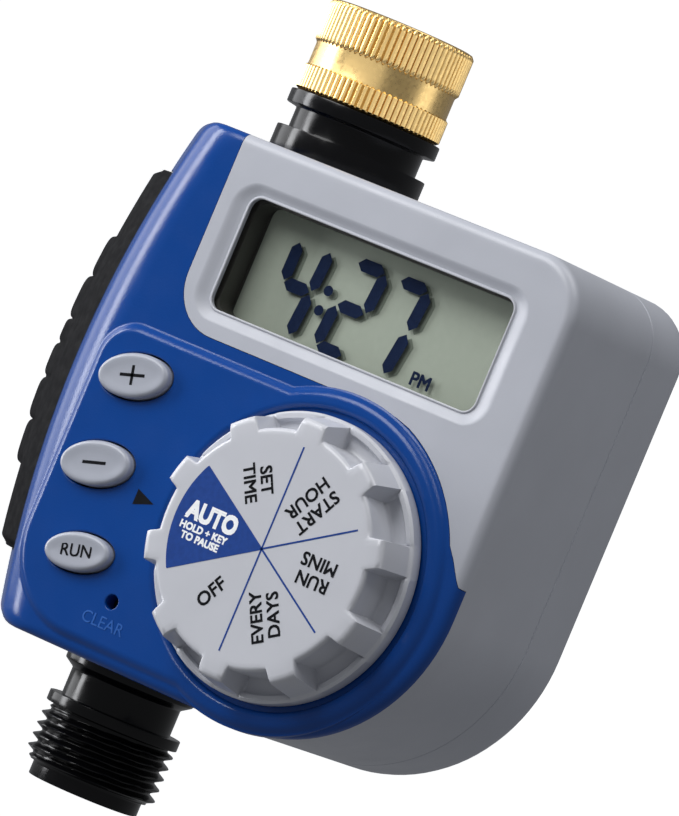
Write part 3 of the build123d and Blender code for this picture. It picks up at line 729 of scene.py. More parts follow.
def front_shell(case):
    wall = case["wall"]
    stations = front_stations(case)
    face = (FRONT, stations[0][1] + 0.6, stations[0][2] + 0.6)
    hollow = [(SEAM, -31.3, wall), (-12.0, -29.3, wall), (-27.0, -18.6, wall), (-28.8, -17.2, wall)]
    return shell("front shell", [face] + stations, hollow, case)


def rear_solid(case):
    stations = back_stations(case)
    face = (BACK, stations[-1][1] + 0.6, stations[-1][2] + 0.6)
    return shell("rear solid", [face] + stations[::-1], [], case)


def rear_hollow(case):
    """The space inside the rear half, open past the seam."""
    hollow = [(-3.0, -31.3, 2.2), (10.5, -29.8, 2.2), (13.4, -27.0, 3.1), (15.5, -23.5, 5.3),
              (16.3, -19.0, 8.2)]
    return shell("rear hollow", hollow, [], case)


def cover_outline(gap=0.0):
    """The part of the front view that is blue, drawn well past the case on its open sides."""
    edge_x, edge_z, ring = -3.4, -68.4, 32.8
    loop = [(-60.0, TOP + 10), (edge_x, TOP + 10)]
    loop += arc(edge_x + 10, edge_z + 10, 10.0, 180, 90, 12)
    loop += [(30.0, edge_z), (46.0, edge_z), (50.5, edge_z - 0.35)]
    loop += arc(DIAL_X, DIAL_Z, ring, 68, -43, 16)
    loop += [(73.4, -88.6), (75.1, -91.0), (76.3, -92.8), (RIGHT + 8, -94.0)]
    loop += [(RIGHT + 8, BOTTOM - 10), (-60.0, BOTTOM - 10)]
    return grown(loop, gap) if gap else loop


def prism(name, loop, front, back):
    form = Form()
    form.slab(loop, [], front, back)
    return form.mesh(name)


def block(name, x, y, z):
    return prism(name, [(x[0], z[0]), (x[1], z[0]), (x[1], z[1]), (x[0], z[1])], *y)


def cover_space(gap=0.0):
    """What the blue cover takes out of the front half: its face, and the whole left side to the seam."""
    face = prism("face space", cover_outline(gap), -45.0, -28.7)
    side = block("side space", (-60.5, -3.4 + gap), (-29.3, 5.0), (BOTTOM - 10.5, TOP + 10.5))
    return carve(face, ("UNION", side))


def tray_space():
    gap = 0.3
    return block("tray space", (-60.0, -17.0), (TRAY_LOW.y - gap, TRAY_HIGH.y + gap),
                 (TRAY_LOW.z - gap, TRAY_HIGH.z + gap))


def rod(name, x, z, radius, front, back):
    return prism(name, circle(x, z, radius, 64), front, back)


# ---- Control panel ----

def panel_loop(ring):
    """The raised panel's outline: rounded on the left, running into the ring about the dial."""
    left, top, bottom = -14.3, -71.6, -129.3
    high, low = 7.0, 17.0
    start = math.degrees(math.atan2(bottom - DIAL_Z, -math.sqrt(ring ** 2 - (bottom - DIAL_Z) ** 2)))
    end = math.degrees(math.atan2(top - DIAL_Z, -math.sqrt(ring ** 2 - (top - DIAL_Z) ** 2)))
    loop = arc(left + high, top - high, high, 90, 90, 12)
    loop += arc(left + low, bottom + low, low, 180, 90, 20)
    return loop + arc(DIAL_X, DIAL_Z, ring, start, end - start, 90)


def control_panel(panel):
    """The raised sheet: a soft outer edge, and rounded rims at the dial well, the buttons and the pinhole."""
    face = FRONT - panel["rise"]
    form = Form()
    outline = panel_loop(panel["ring"])
    edge = ((1.1, FRONT + 2.1), (1.05, FRONT + 0.1), (1.0, FRONT), (0.8, FRONT - 0.04), (0.55, FRONT - 0.17),
            (0.3, FRONT - 0.4), (0.05, FRONT - 0.66), (-0.25, FRONT - 0.88), (-0.55, face + 0.14),
            (-0.9, face + 0.04), (-1.2, face), (-1.3, face))
    outer = [form.ring(deep(grown(outline, margin), y)) for margin, y in edge]
    form.bands(outer)
    holes = [(circle(DIAL_X, DIAL_Z, panel["well"], 160), 1.4)]
    holes += [(oval(*spot, grow=panel["button_gap"]), 0.35) for spot in BUTTONS.values()]
    holes += [(circle(*RESET, panel["pinhole"], 32), 0.25)]
    rims = []
    for loop, soft in holes:
        rings = [form.ring(deep(grown(loop, soft + 0.15), face))]
        for i in range(7):
            angle = math.radians(90 * i / 6)
            lip = grown(loop, soft * (1 - math.sin(angle)))
            rings.append(form.ring(deep(lip, face + soft * (1 - math.cos(angle)))))
        rings.append(form.ring(deep(loop, FRONT + 0.5)))
        form.bands(rings)
        rims.append(rings)
    form.fill(outer[-1], [rings[0] for rings in rims])
    form.fill(outer[0], [rings[-1] for rings in rims])
    return form.mesh("panel")


def front_pieces():
    case, panel = settings("timer_case"), settings("timer_panel")
    whole = front_shell(case)
    holes = [("DIFFERENCE", prism("button space", oval(*spot, grow=panel["button_gap"] + 0.1), *CUT))
             for spot in BUTTONS.values()]
    holes += [("DIFFERENCE", rod("reset space", *RESET, panel["pinhole"] + 0.05, *CUT)),
              ("DIFFERENCE", rod("shaft space", DIAL_X, DIAL_Z, 5.05, *CUT)),
              ("DIFFERENCE", tray_space())]
    blue = carve(whole.copy(), ("INTERSECT", cover_space()), *holes)
    show(tidy(joined(blue, control_panel(panel))), "blue_cover", "case", "blue_abs", "blue", "front_cover")

    bezel = rounded(*BEZEL_OUTER, 5.5)
    grey = carve(whole, ("DIFFERENCE", cover_space(case["parting"])),
                 ("DIFFERENCE", prism("bezel space", bezel, *CUT)))
    show(tidy(joined(grey, bezel_ring())), "grey_housing", "case", "grey_abs", "grey", "front_housing")


def rear_piece():
    case = settings("timer_case")
    hollow = rear_hollow(case)
    bosses = [("DIFFERENCE", rod("boss", x, z, SCREW_BOSS, -5.0, 30.0)) for x, z in SCREWS]
    steps = [("DIFFERENCE", carve(hollow, *bosses))]
    steps += [("DIFFERENCE", rod("counterbore", x, z, SCREW_COUNTERBORE, 9.0, 30.0)) for x, z in SCREWS]
    steps.append(("DIFFERENCE", tray_space()))
    show(tidy(carve(rear_solid(case), *steps)), "rear_case", "case", "grey_abs", "grey", "rear_housing")


# ---- Display ----

BEZEL_OUTER = (-0.6, 68.3, -65.6, -38.2)
BEZEL_INNER = (3.0, 64.5, -63.1, -40.7)
# Y of the digits, and of their painted shadow: a darker copy on the reflector
DIGIT_Y = -24.4
SHADE_Y = -23.68
# A digit's stroke: its width, and how far it runs past its two ends
STROKE, STROKE_REACH = 2.5, 0.12
# Half the thickness of a print
PRINT = 0.02
# (x, z) of the colon's two dots and of the afternoon mark
COLON = ((22.5, -51.9), (22.2, -55.9))
AFTERNOON = (48.4, -61.0)
# Both ends of each segment that is lit
SEGMENTS = (
    ((12.7, -45.7), (12.6, -53.0)), ((12.9, -53.5), (18.6, -53.5)), ((19.7, -45.4), (19.1, -53.0)),
    ((19.0, -54.0), (18.2, -62.0)),
    ((26.3, -45.0), (32.2, -45.0)), ((32.6, -45.4), (31.9, -53.0)), ((25.6, -53.5), (31.4, -53.5)),
    ((25.2, -54.0), (24.5, -61.6)), ((24.8, -62.0), (30.4, -62.0)),
    ((36.3, -45.1), (42.2, -45.1)), ((42.7, -45.5), (41.9, -53.0)), ((41.8, -54.0), (40.5, -62.0)),
)


def bezel_ring():
    """The soft slope that falls from the grey face to the window, with a thin lip round the glass."""
    outer, inner = rounded(*BEZEL_OUTER, 5.5), rounded(*BEZEL_INNER, 2.5)
    lip = grown(inner, 0.45)
    form = Form()
    rings = [form.ring(deep(outer, -29.2)), form.ring(deep(outer, FRONT))]
    for share, y in ((0.08, -30.98), (0.2, -30.9), (0.4, -30.68), (0.65, -30.4), (0.9, -30.16)):
        rings.append(form.ring(deep(blend(outer, lip, share), y)))
    rings += [form.ring(deep(lip, -30.12)), form.ring(deep(blend(lip, inner, 0.35), -30.26)),
              form.ring(deep(blend(lip, inner, 0.75), -30.24)), form.ring(deep(inner, -30.08)),
              form.ring(deep(inner, -29.2))]
    form.bands(rings, loop=True)
    return form.mesh("bezel")


def window_lip():
    """A thin polished bead that follows the window's edge."""
    edge = rounded(*BEZEL_INNER, 2.5)
    form = Form()
    rings = [form.ring(deep(grown(edge, 0.22 * math.cos(a) + 0.1), -30.16 + 0.2 * math.sin(a)))
             for a in turn(10)]
    form.bands(rings, loop=True)
    return form.mesh("lip")


def stroke(form, start, end, width, front, back):
    """One mitred stroke of a digit."""
    a, b = Vector(start), Vector(end)
    along = (b - a).normalized()
    a, b = a - along * STROKE_REACH, b + along * STROKE_REACH
    across = Vector((-along.y, along.x)) * width / 2
    tip = along * width / 2
    loop = [a, a + tip + across, b - tip + across, b, b - tip - across, a + tip - across]
    form.slab([tuple(p) for p in loop], [], front, back)


def digits(name, y, shift=(0.0, 0.0)):
    form = Form()
    for (ax, az), (bx, bz) in SEGMENTS:
        stroke(form, (ax + shift[0], az + shift[1]), (bx + shift[0], bz + shift[1]), STROKE,
               y - PRINT, y + PRINT)
    for x, z in COLON:
        form.slab(circle(x + shift[0], z + shift[1], 1.0, 24), [], y - PRINT, y + PRINT)
    return form.mesh(name)


def display_pieces():
    form = Form()
    form.slab(rounded(4.4, 65.4, -64.2, -40.6, 2.5), [], -23.62, -23.52)
    show(form.mesh("reflector"), "lcd_face", "case", "lcd_glass", "lcd")
    # The lip takes the dial's lighter grey rather than the housing's: a painted highlight along the window.
    show(window_lip(), "window_lip", "case", "grey_abs", "rim")
    afternoon = on_front(lettering("PM", 3.6, 0.1), AFTERNOON[0], DIGIT_Y, AFTERNOON[1])
    show(joined(digits("digits", DIGIT_Y), afternoon), "lcd_digits", "case", "black_pom", "segment")
    # A painted shadow of the digits: a darker olive copy moved right and down onto the reflector.
    show(digits("shade", SHADE_Y, (0.9, -0.3)), "lcd_digit_shade", "case", "black_pom", "segment shade")


# ---- Buttons, dial and prints ----

def button_mesh(name, spot):
    """An oval cap with a soft rim and a slightly hollow top."""
    soft = 0.9
    form = Form()
    rings = [form.ring(deep(oval(*spot), y)) for y in (BUTTON_FOOT, BUTTON_TOP + soft)]
    for i in range(1, 9):
        angle = math.radians(90 * i / 8)
        edge = oval(*spot, grow=-soft * (1 - math.cos(angle)))
        rings.append(form.ring(deep(edge, BUTTON_TOP + soft * (1 - math.sin(angle)))))
    for margin, y in ((-1.3, 0.03), (-2.0, 0.12), (-2.8, 0.2)):
        rings.append(form.ring(deep(oval(*spot, grow=margin), BUTTON_TOP + y)))
    form.bands(rings)
    form.fill(rings[0])
    form.fill(rings[-1])
    return form.mesh(name)


def bars(form, x, z, tilt, boxes, y):
    """Flat rectangles about a centre, turned by a tilt: (half width, half height) each."""
    c, s = math.cos(math.radians(tilt)), math.sin(math.radians(tilt))
    for half_width, half_height in boxes:
        corners = ((-half_width, -half_height), (half_width, -half_height), (half_width, half_height),
                   (-half_width, half_height))
        form.slab([(x + u * c - v * s, z + u * s + v * c) for u, v in corners], [], y - PRINT, y + PRINT)


def button_pieces():
    marks = {"plus": ((2.7, 0.3), (0.3, 2.65)), "minus": ((2.55, 0.3),)}
    for name, spot in BUTTONS.items():
        show(button_mesh(name, spot), name + "_cap", name, "light_grey_abs", "button", name + "_button")
        if name in marks:
            form = Form()
            bars(form, spot[0], spot[1], spot[4], marks[name], BUTTON_MARK)
            show(form.mesh(name + " mark"), name + "_mark", name, "black_pom", "black ink")
    x, z, _, _, tilt = BUTTONS["run"]
    word = on_front(lettering("RUN", 3.4, 0.04), x, BUTTON_MARK, z, tilt)
    show(word, "run_mark", "run", "black_pom", "black ink")


# (radius, y) from the dial's face down to its foot, through a lug and through the notch between two
LUG = ((21.0, -41.94), (23.8, -41.94), (24.5, -41.85), (24.95, -41.6), (25.2, -41.2), (25.28, -40.8),
       (26.45, -34.7), (26.5, -34.6), (26.55, -34.5), (26.6, -34.45), (26.65, -34.4), (26.7, -34.35),
       (26.8, -34.25), (27.0, -34.1), (27.2, -33.8), (27.2, -31.4))
NOTCH = ((21.0, -41.94), (21.7, -41.94), (22.1, -41.85), (22.4, -41.6), (22.6, -41.2), (22.6, -40.8),
         (22.6, -34.2), (22.8, -33.8), (23.1, -33.6), (25.0, -33.5), (25.4, -33.7), (25.6, -34.4),
         (25.85, -34.6), (26.7, -34.6), (27.2, -34.1), (27.2, -31.4))
# Y of the print on the dial's face, and of the words that lie over the blue sector
DIAL_PRINT, AUTO_PRINT = -41.96, -41.976


def dial_mesh(dial):
    """The knob: a flat face, deep notches between its lugs, and a low rim round its foot."""
    lug_half, ramp = 6.5, 1.3
    step = 360 / dial["lugs"]
    angles = []
    for k in range(dial["lugs"]):
        centre = 90 + step * k
        offsets = [-lug_half - ramp, -lug_half - ramp * 0.5, -lug_half, -lug_half + ramp * 0.5,
                   -3.0, 0.0, 3.0, lug_half - ramp * 0.5, lug_half, lug_half + ramp * 0.5, lug_half + ramp]
        angles += [centre + offset for offset in offsets]
        angles += [centre + lug_half + ramp + (step - 2 * (lug_half + ramp)) * i / 6 for i in range(1, 6)]
    form = Form()
    columns = []
    for angle in angles:
        near = abs((angle - 90 + step / 2) % step - step / 2)
        share = 1 - ease((near - (lug_half - ramp * 0.5)) / (ramp * 1.5))
        a = math.radians(angle)
        column = []
        for (rl, yl), (rn, yn) in zip(LUG, NOTCH):
            radius, y = rn + (rl - rn) * share, yn + (yl - yn) * share
            column.append((DIAL_X + radius * math.cos(a), y, DIAL_Z + radius * math.sin(a)))
        columns.append(column)
    rings = [form.ring([column[i] for column in columns]) for i in range(len(LUG))]
    centre = form.ring([(DIAL_X + (x - DIAL_X) * 0.9, y, DIAL_Z + (z - DIAL_Z) * 0.9) for x, y, z in
                        [column[0] for column in columns]])
    form.bands([centre] + rings)
    form.fill(centre)
    form.fill(rings[-1])
    return form.mesh("dial", 38.0)


def dial_print(dial):
    """Everything printed on the dial's face: three lines, a blue sector and the words between them."""
    y, reach = DIAL_PRINT, 20.0
    lines = Form()
    for angle in (90.0, 30.0, -30.0):
        bars(lines, DIAL_X, DIAL_Z, angle, ((reach, dial["line"] / 2),), y)
    lines.slab([(DIAL_X, DIAL_Z)] + arc(DIAL_X, DIAL_Z, reach + 0.1, 150, 60, 24), [], y - 0.015, y + 0.02)
    show(lines.mesh("lines"), "dial_lines", "dial", "blue_abs", "blue ink")

    def word(text, angle, radius, height, shift=0.0, level=y, bold=0.0, width=1.0):
        a = math.radians(angle)
        x = DIAL_X + radius * math.cos(a) - shift * math.sin(a - math.pi)
        z = DIAL_Z + radius * math.sin(a) + shift * math.cos(a - math.pi)
        return on_front(lettering(text, height, bold), x, level, z, angle - 180, width)

    black = []
    labels = ((120, "SET", "TIME"), (60, "START", "HOUR"), (0, "RUN", "MINS"), (-60, "EVERY", "DAYS"))
    for angle, *pair in labels:
        black += [word(text, angle, 12.6, 3.5, shift, bold=0.07) for text, shift in zip(pair, (1.75, -1.75))]
    black.append(word("OFF", -120, 12.6, 3.7, bold=0.07))
    show(joined(*black), "dial_words", "dial", "black_pom", "black ink")
    white = [word("AUTO", 180, 12.2, 4.7, 1.5, AUTO_PRINT, 0.22, 0.86),
             word("HOLD + KEY", 180, 12.9, 1.9, -1.5, AUTO_PRINT, 0.08),
             word("TO PAUSE", 180, 12.9, 1.9, -3.3, AUTO_PRINT, 0.08)]
    show(joined(*white), "dial_auto", "dial", "light_grey_abs", "white ink")


def dial_pieces():
    dial = settings("timer_dial")
    show(dial_mesh(dial), "dial_cap", "dial", "light_grey_abs", "light", "dial_knob")
    dial_print(dial)


def panel_marks():
    """The pointer beside the dial, and the small raised word under the pinhole, printed in a lighter blue as
    a painted highlight.
    """
    face = FRONT - settings("timer_panel")["rise"]
    pointer = Form()
    pointer.slab([(5.9, -99.2), (5.9, -102.3), (10.3, -100.8)], [], face - 0.03, face + 0.05)
    show(pointer.mesh("pointer"), "dial_pointer", "case", "black_pom", "black ink")
    # Lighter blue than the cover: a painted highlight where the raised letters catch the light.
    word = on_front(lettering("CLEAR", 3.3), 10.0, face - 0.05, -124.7)
    show(word, "reset_word", "case", "blue_abs", "raised blue")


# ---- Fittings ----

def knurl_tree():
    """Bars standing side by side in a ring, their ends slightly rounded, for the grip bands of the nut."""
    tree = bpy.data.node_groups.new("Knurl band", "GeometryNodeTree")
    tree.is_modifier = True
    tree.interface.new_socket("Geometry", in_out="INPUT", socket_type="NodeSocketGeometry")
    for name, kind in (("Count", "Int"), ("Ring Radius", "Float"), ("Bar Radius", "Float"),
                       ("Bottom", "Float"), ("Top", "Float"), ("Finish", "Material")):
        tree.interface.new_socket(name, in_out="INPUT", socket_type="NodeSocket" + kind)
    tree.interface.new_socket("Geometry", in_out="OUTPUT", socket_type="NodeSocketGeometry")
    given = add(tree, "NodeGroupInput").outputs
    ring = add(tree, "GeometryNodeMeshCircle", {"Vertices": given["Count"], "Radius": given["Ring Radius"]})
    low = add(tree, "ShaderNodeCombineXYZ", {"Z": given["Bottom"]})
    high = add(tree, "ShaderNodeCombineXYZ", {"Z": given["Top"]})
    line = add(tree, "GeometryNodeCurvePrimitiveLine", {"Start": low.outputs[0], "End": high.outputs[0]})
    points = add(tree, "GeometryNodeResampleCurve", {"Curve": line.outputs[0], "Count": 13})
    along = add(tree, "GeometryNodeSplineParameter")
    signed = add(tree, "ShaderNodeMath", {0: along.outputs["Factor"], 1: 2.0, 2: -1.0},
                 operation="MULTIPLY_ADD")
    distance = add(tree, "ShaderNodeMath", {0: signed.outputs[0]}, operation="ABSOLUTE")
    power = add(tree, "ShaderNodeMath", {0: distance.outputs[0], 1: 24.0}, operation="POWER")
    rest = add(tree, "ShaderNodeMath", {0: 1.0, 1: power.outputs[0]}, operation="SUBTRACT")
    taper = add(tree, "ShaderNodeMath", {0: rest.outputs[0], 1: 0.5}, operation="POWER")
    bar = add(tree, "GeometryNodeSetCurveRadius", {"Curve": points.outputs[0], "Radius": taper.outputs[0]})
    section = add(tree, "GeometryNodeCurvePrimitiveCircle", {"Resolution": 8, "Radius": given["Bar Radius"]})
    solid = add(tree, "GeometryNodeCurveToMesh",
                {"Curve": bar.outputs[0], "Profile Curve": section.outputs[0]})
    if "Scale" in solid.inputs:
        tree.links.new(taper.outputs[0], solid.inputs["Scale"])
    placed = add(tree, "GeometryNodeInstanceOnPoints",
                 {"Points": ring.outputs[0], "Instance": solid.outputs[0]})
    real = add(tree, "GeometryNodeRealizeInstances", {"Geometry": placed.outputs[0]})
    finished = add(tree, "GeometryNodeSetMaterial",
                   {"Geometry": real.outputs[0], "Material": given["Finish"]})
    add(tree, "NodeGroupOutput", {"Geometry": finished.outputs[0]})
    return tree


def knurl_band(tree, thread, low, high):
    """One band of bars as a plain mesh, between two heights."""
    holder = bpy.data.objects.new("band", bpy.data.meshes.new("band"))
    bpy.context.scene.collection.objects.link(holder)
    modifier = holder.modifiers.new("knurls", "NODES")
    modifier.node_group = tree
    values = {"Count": thread["knurls"], "Ring Radius": (NUT_HIGH.x - thread["bar"]) * MM,
              "Bar Radius": thread["bar"] * MM, "Bottom": low * MM, "Top": high * MM,
              "Finish": materials()["brass"]}
    for item in tree.interface.items_tree:
        if item.in_out == "INPUT" and item.name in values:
            modifier[item.identifier] = values[item.name]
    return evaluated(holder, "band")


def nut_piece():
    """The swivel nut: a turned body with rings for the tap thread, and two bands of grip bars."""
    thread = settings("timer_thread")
    top, bottom, reach = NUT_HIGH.z, NUT_LOW.z, NUT_HIGH.x
    groove, upper_end, lower_start = reach - 0.5, -8.9, -13.1
    form = Form()
    profile = [(reach - 1.0, top), (reach - 0.55, top - 0.12), (reach - 0.42, top - 0.3), (groove, -0.6),
               (groove, upper_end), (groove - 0.05, -9.1), (groove - 0.05, -12.9), (groove, lower_start),
               (groove, bottom + 0.3), (groove - 0.3, bottom), (9.7, bottom), (9.7, -16.0), (13.2, -16.0),
               (13.2, -12.5)]
    turns = 9
    for i in range(turns):
        z = -12.3 + i * 12.0 / turns
        profile += [(12.2, z), (12.2, z + 0.35), (13.3, z + 0.75), (13.3, z + 0.95)]
    profile += [(13.4, top - 0.2), (13.55, top)]
    form.lathe(profile, 128)
    tree = knurl_tree()
    bands = [knurl_band(tree, thread, upper_end, top - 0.06),
             knurl_band(tree, thread, bottom + 0.05, lower_start)]
    whole = tidy(joined(form.mesh("nut"), *bands), 40.0)
    show(whole, "brass_nut", "coupling", "nut_brass", "brass", "coupling_nut")


def soften(profile, radius=0.25):
    """Rounds each corner of a turned profile with two points."""
    result = []
    count = len(profile)
    for i in range(count):
        before, here, after = Vector(profile[i - 1]), Vector(profile[i]), Vector(profile[(i + 1) % count])
        back, on = (before - here), (after - here)
        reach = min(radius, back.length * 0.4, on.length * 0.4)
        first, last = here + back.normalized() * reach, here + on.normalized() * reach
        result += [tuple(first), tuple((first + last) * 0.25 + here * 0.5), tuple(last)]
    return result


def collar_piece():
    bottom = -38.0
    profile = [(9.6, -18.5), (15.15, -18.5), (15.15, -21.2), (12.96, -21.6), (12.96, -25.7), (15.1, -25.7),
               (15.1, TOP), (11.05, TOP), (11.05, bottom), (9.6, bottom)]
    form = Form()
    form.lathe(soften(profile), 112)
    show(form.mesh("collar"), "inlet_neck", "case", "black_pom", "acetal", "inlet_collar")


def outlet_piece():
    """The outlet: flange, neck, thread flange, then the helical thread down to the plain tip."""
    thread = settings("timer_thread")
    crest, root, pitch = thread["crest"], thread["root"], thread["pitch"]
    neck, end, bore = -143.6, -154.5, 6.5
    form = Form()
    form.lathe(soften([(bore, -128.0), (11.05, -128.0), (11.05, -132.2), (13.0, -132.2), (13.0, -134.3),
                       (11.05, -135.6), (11.05, -141.0), (13.3, -141.0), (13.3, -143.1), (root, -143.3),
                       (root, -143.7), (bore, -143.7)], 0.2), 112)
    form.lathe(soften([(bore, end + 0.4), (root - 0.05, end + 0.4), (11.02, end - 0.2), (11.02, OUTLET_LOW.z),
                       (bore, OUTLET_LOW.z)], 0.2), 112)
    steps, rows = 112, 12
    lines = int(math.ceil((neck - end) / pitch * rows)) + 1
    grid = []
    for line in range(lines + 1):
        z = neck + (end - neck) * line / lines
        ring = []
        for angle in turn(steps):
            phase = ((z / pitch) - angle / (2 * math.pi)) % 1.0
            tooth = max(0.0, 1 - abs(phase - 0.5) / 0.42)
            fade = ease((-143.55 - z) / 0.7) * ease((z - end) / 0.9)
            radius = root + (crest - root) * min(1.0, tooth * 1.12) * fade
            ring.append((radius * math.cos(angle), radius * math.sin(angle), z))
        grid.append(form.ring(ring))
    inner = [form.ring([(bore * math.cos(a), bore * math.sin(a), z) for a in turn(steps)])
             for z in (end, neck)]
    form.bands(grid + inner, loop=True)
    show(form.mesh("outlet", 50.0), "outlet_neck", "case", "black_pom", "acetal", "outlet_spigot")


# ---- Battery tray grip ----

# (y, x) round the grip at mid height, from its front edge to its back edge
GRIP_PROFILE = ((-23.6, -23.6), (-21.5, -26.6), (-19.0, -29.9), (-17.0, -31.9), (-15.6, -33.0),
                (-14.6, -33.7), (-13.5, -34.4), (-11.0, -35.3), (-8.0, -35.9), (-5.0, -36.2), (-1.5, -36.3),
                (2.0, -36.3), (5.0, -36.1), (8.0, -35.4), (10.5, -34.1), (13.0, -32.2), (15.1, -29.6))
# How far its two ends curve in, and the thickness of its wall
GRIP_BOW, GRIP_THICKNESS = 7.0, 2.2
# Finger pads, from the top down: top, bottom, height
GRIP_PADS = ((-57.5, -66.0, 1.3), (-66.0, -75.0, 1.8), (-75.0, -80.0, 1.7), (-80.0, -87.0, 1.95),
             (-87.0, -95.5, 1.95), (-95.5, -104.0, 1.5))


def pad_height(z):
    """How far the finger pads swell at a height: each is a rounded cushion, with a groove to the next."""
    for top, bottom, height in GRIP_PADS:
        if bottom < z <= top:
            across = abs(2 * (top - z) / (top - bottom) - 1)
            return height * (0.25 + 0.75 * math.sqrt(max(0.0, 1 - across ** 5)))
    return 0.0


def grip_piece():
    top, bottom = TRAY_HIGH.z, TRAY_LOW.z
    middle_z, half = (TOP + BOTTOM) / 2, (TOP - BOTTOM) / 2
    form = Form()
    rings = []
    for i in range(241):
        z = top + (bottom - top) * i / 240
        bow = GRIP_BOW * ((z - middle_z) / half) ** 2
        end = ease(min(top - z, z - bottom) / 1.6)
        outer = []
        for y, x in GRIP_PROFILE:
            share = ease((y + 16.4) / 2.2) * ease((14.0 - y) / 3.0)
            outer.append((x + bow + (1 - end) * 1.5 - share * pad_height(z), y, z))
        inner = [(x + GRIP_THICKNESS, y * 0.93, z) for x, y, _ in outer[::-1]]
        rings.append(form.ring(outer + inner))
    form.bands(rings)
    form.fill(rings[0], axes=(0, 1))
    form.fill(rings[-1], axes=(0, 1))
    show(form.mesh("grip", 40.0), "tray_rubber", "tray", "grip_rubber", "grip", "tray_grip")


# ---- Valve springs ----

def spring_piece(name, node, radius, wire):
    """A helical spring along X, as long as its node."""
    low, high = box_mm(node)
    _, y, z = middle(node)
    turns, steps = 3, 28
    start, length = low.x + wire / 2, high.x - low.x - wire
    form = Form()
    rings = []
    for i in range(turns * steps + 1):
        angle = 2 * math.pi * i / steps
        out = Vector((0, math.cos(angle), math.sin(angle)))
        lead = length / (2 * math.pi * turns * radius)
        across = out.cross(Vector((lead, -math.sin(angle), math.cos(angle))).normalized())
        centre = Vector((start + length * i / (turns * steps), y, z)) + out * radius
        rings.append(form.ring([centre + (out * math.cos(a) + across * math.sin(a)) * wire / 2
                                for a in turn(10)]))
    form.bands(rings)
    form.faces += [rings[0], rings[-1]]
    piece = show(form.mesh(name), name, "case", "spring_steel", "spring", node)
    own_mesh(piece)


def valve_springs():
    spring_piece("diaphragm_coil", "diaphragm_spring", 3.6, 0.6)
    spring_piece("plunger_coil", "plunger_spring", 2.6, 0.6)


# ---- Finishes of the nodes that stay, and the stage ----

SLOT_FINISH = {
    "nut_brass": "brass", "blue_abs": "blue", "grey_abs": "grey", "light_grey_abs": "light",
    "black_pom": "acetal", "grip_rubber": "grip", "clear_window": "acrylic", "lcd_glass": "dark",
    "dark_abs": "dark", "board_laminate": "board", "seal_rubber": "seal", "keypad_silicone": "silicone",
    "fastener_steel": "steel", "spring_steel": "spring", "winding_copper": "copper", "cell_wrap": "wrap",
}


def finish_nodes():
    """Gives every CAD node that still shows the finish of its material slot."""
    for part in frame["record"]["subparts"]:
        node = part["node"]
        key = {"filter_screen": "wire"}.get(node, SLOT_FINISH[part["material_slot"]])
        for place in frame["nodes"][node].material_slots:
            place.material = materials()[key]


def area_light(name, place, target, across, watts, tint):
    lamp = bpy.data.lights.new(name, "AREA")
    lamp.shape = "RECTANGLE"
    lamp.size, lamp.size_y = across
    lamp.energy = watts
    lamp.color = linear(tint)[:3]
    holder = bpy.data.objects.new(name, lamp)
    bpy.context.scene.collection.objects.link(holder)
    holder.location = target + Vector(place)
    holder.rotation_euler = (-Vector(place)).to_track_quat("-Z", "Y").to_euler()
    holder.visible_camera = False
    return holder


def studio():
    """Pale floor and backdrop, soft lights and the camera."""
    scene = bpy.context.scene
    scene.view_settings.view_transform = "Standard"
    target = Vector((14.12, 8.72, -71.06)) * MM
    material, _, shader, _ = new_material("Pale paper")
    shader.inputs["Base Color"].default_value = linear("#f2f3f5")
    shader.inputs["Roughness"].default_value = 0.9
    shader.inputs["Emission Color"].default_value = linear("#ffffff")
    shader.inputs["Emission Strength"].default_value = 0.75
    form = Form()
    depth = [(-3000, -300), (1500, -300), (1900, -180), (2100, 150), (2150, 700), (2150, 3000)]
    rings = [form.ring([(x, y, z) for x in (-4000, 4000)]) for y, z in depth]
    form.bands(rings, closed=False)
    sheet = bpy.data.objects.new("paper_sweep", form.mesh("paper"))
    sheet.data.materials.append(material)
    scene.collection.objects.link(sheet)
    sheet.visible_diffuse = False
    sheet.visible_glossy = False

    area_light("key", (-0.45, -0.85, 0.75), target, (0.7, 0.7), 10.0, "#ffffff")
    area_light("left strip", (-0.91, -0.41, 0.12), target, (0.22, 0.8), 7.0, "#fbfcff")
    area_light("left panel", (-0.95, -0.02, 0.16), target, (0.5, 0.7), 2.5, "#fbfcff")
    area_light("top", (0.35, -0.15, 1.0), target, (0.7, 0.7), 4.5, "#ffffff")
    cards = [area_light("front card", (-0.05, -0.95, 0.1), target, (1.3, 0.9), 2.2, "#ffffff"),
             area_light("right card", (0.9, 0.35, 0.1), target, (0.5, 0.9), 1.7, "#ffffff")]
    lit = bpy.data.collections.new("lit by the cards")
    lit.objects.link(bpy.data.objects["brass_nut"])
    for card in cards:
        card.light_linking.receiver_collection = lit
    world = bpy.data.worlds.new("studio")
    world.use_nodes = True
    world.node_tree.nodes["Background"].inputs["Color"].default_value = linear("#eef0f4")
    world.node_tree.nodes["Background"].inputs["Strength"].default_value = 0.25
    scene.world = world

    azimuth, roll, distance = math.radians(31.7), math.radians(22.75), 1.4
    level = Vector((math.cos(azimuth), math.sin(azimuth), 0))
    upright = Vector((0, 0, 1))
    right = level * math.cos(roll) + upright * math.sin(roll)
    up = upright * math.cos(roll) - level * math.sin(roll)
    back = right.cross(up)
    camera = bpy.data.cameras.new("camera")
    camera.lens = 326.5
    camera.sensor_width = 36.0
    camera.clip_end = 100.0
    holder = bpy.data.objects.new("camera", camera)
    scene.collection.objects.link(holder)
    turned = Matrix((right, up, back)).transposed().to_4x4()
    holder.matrix_world = Matrix.Translation(target + back * distance) @ turned
    scene.camera = holder


# ---- Operators and panel ----

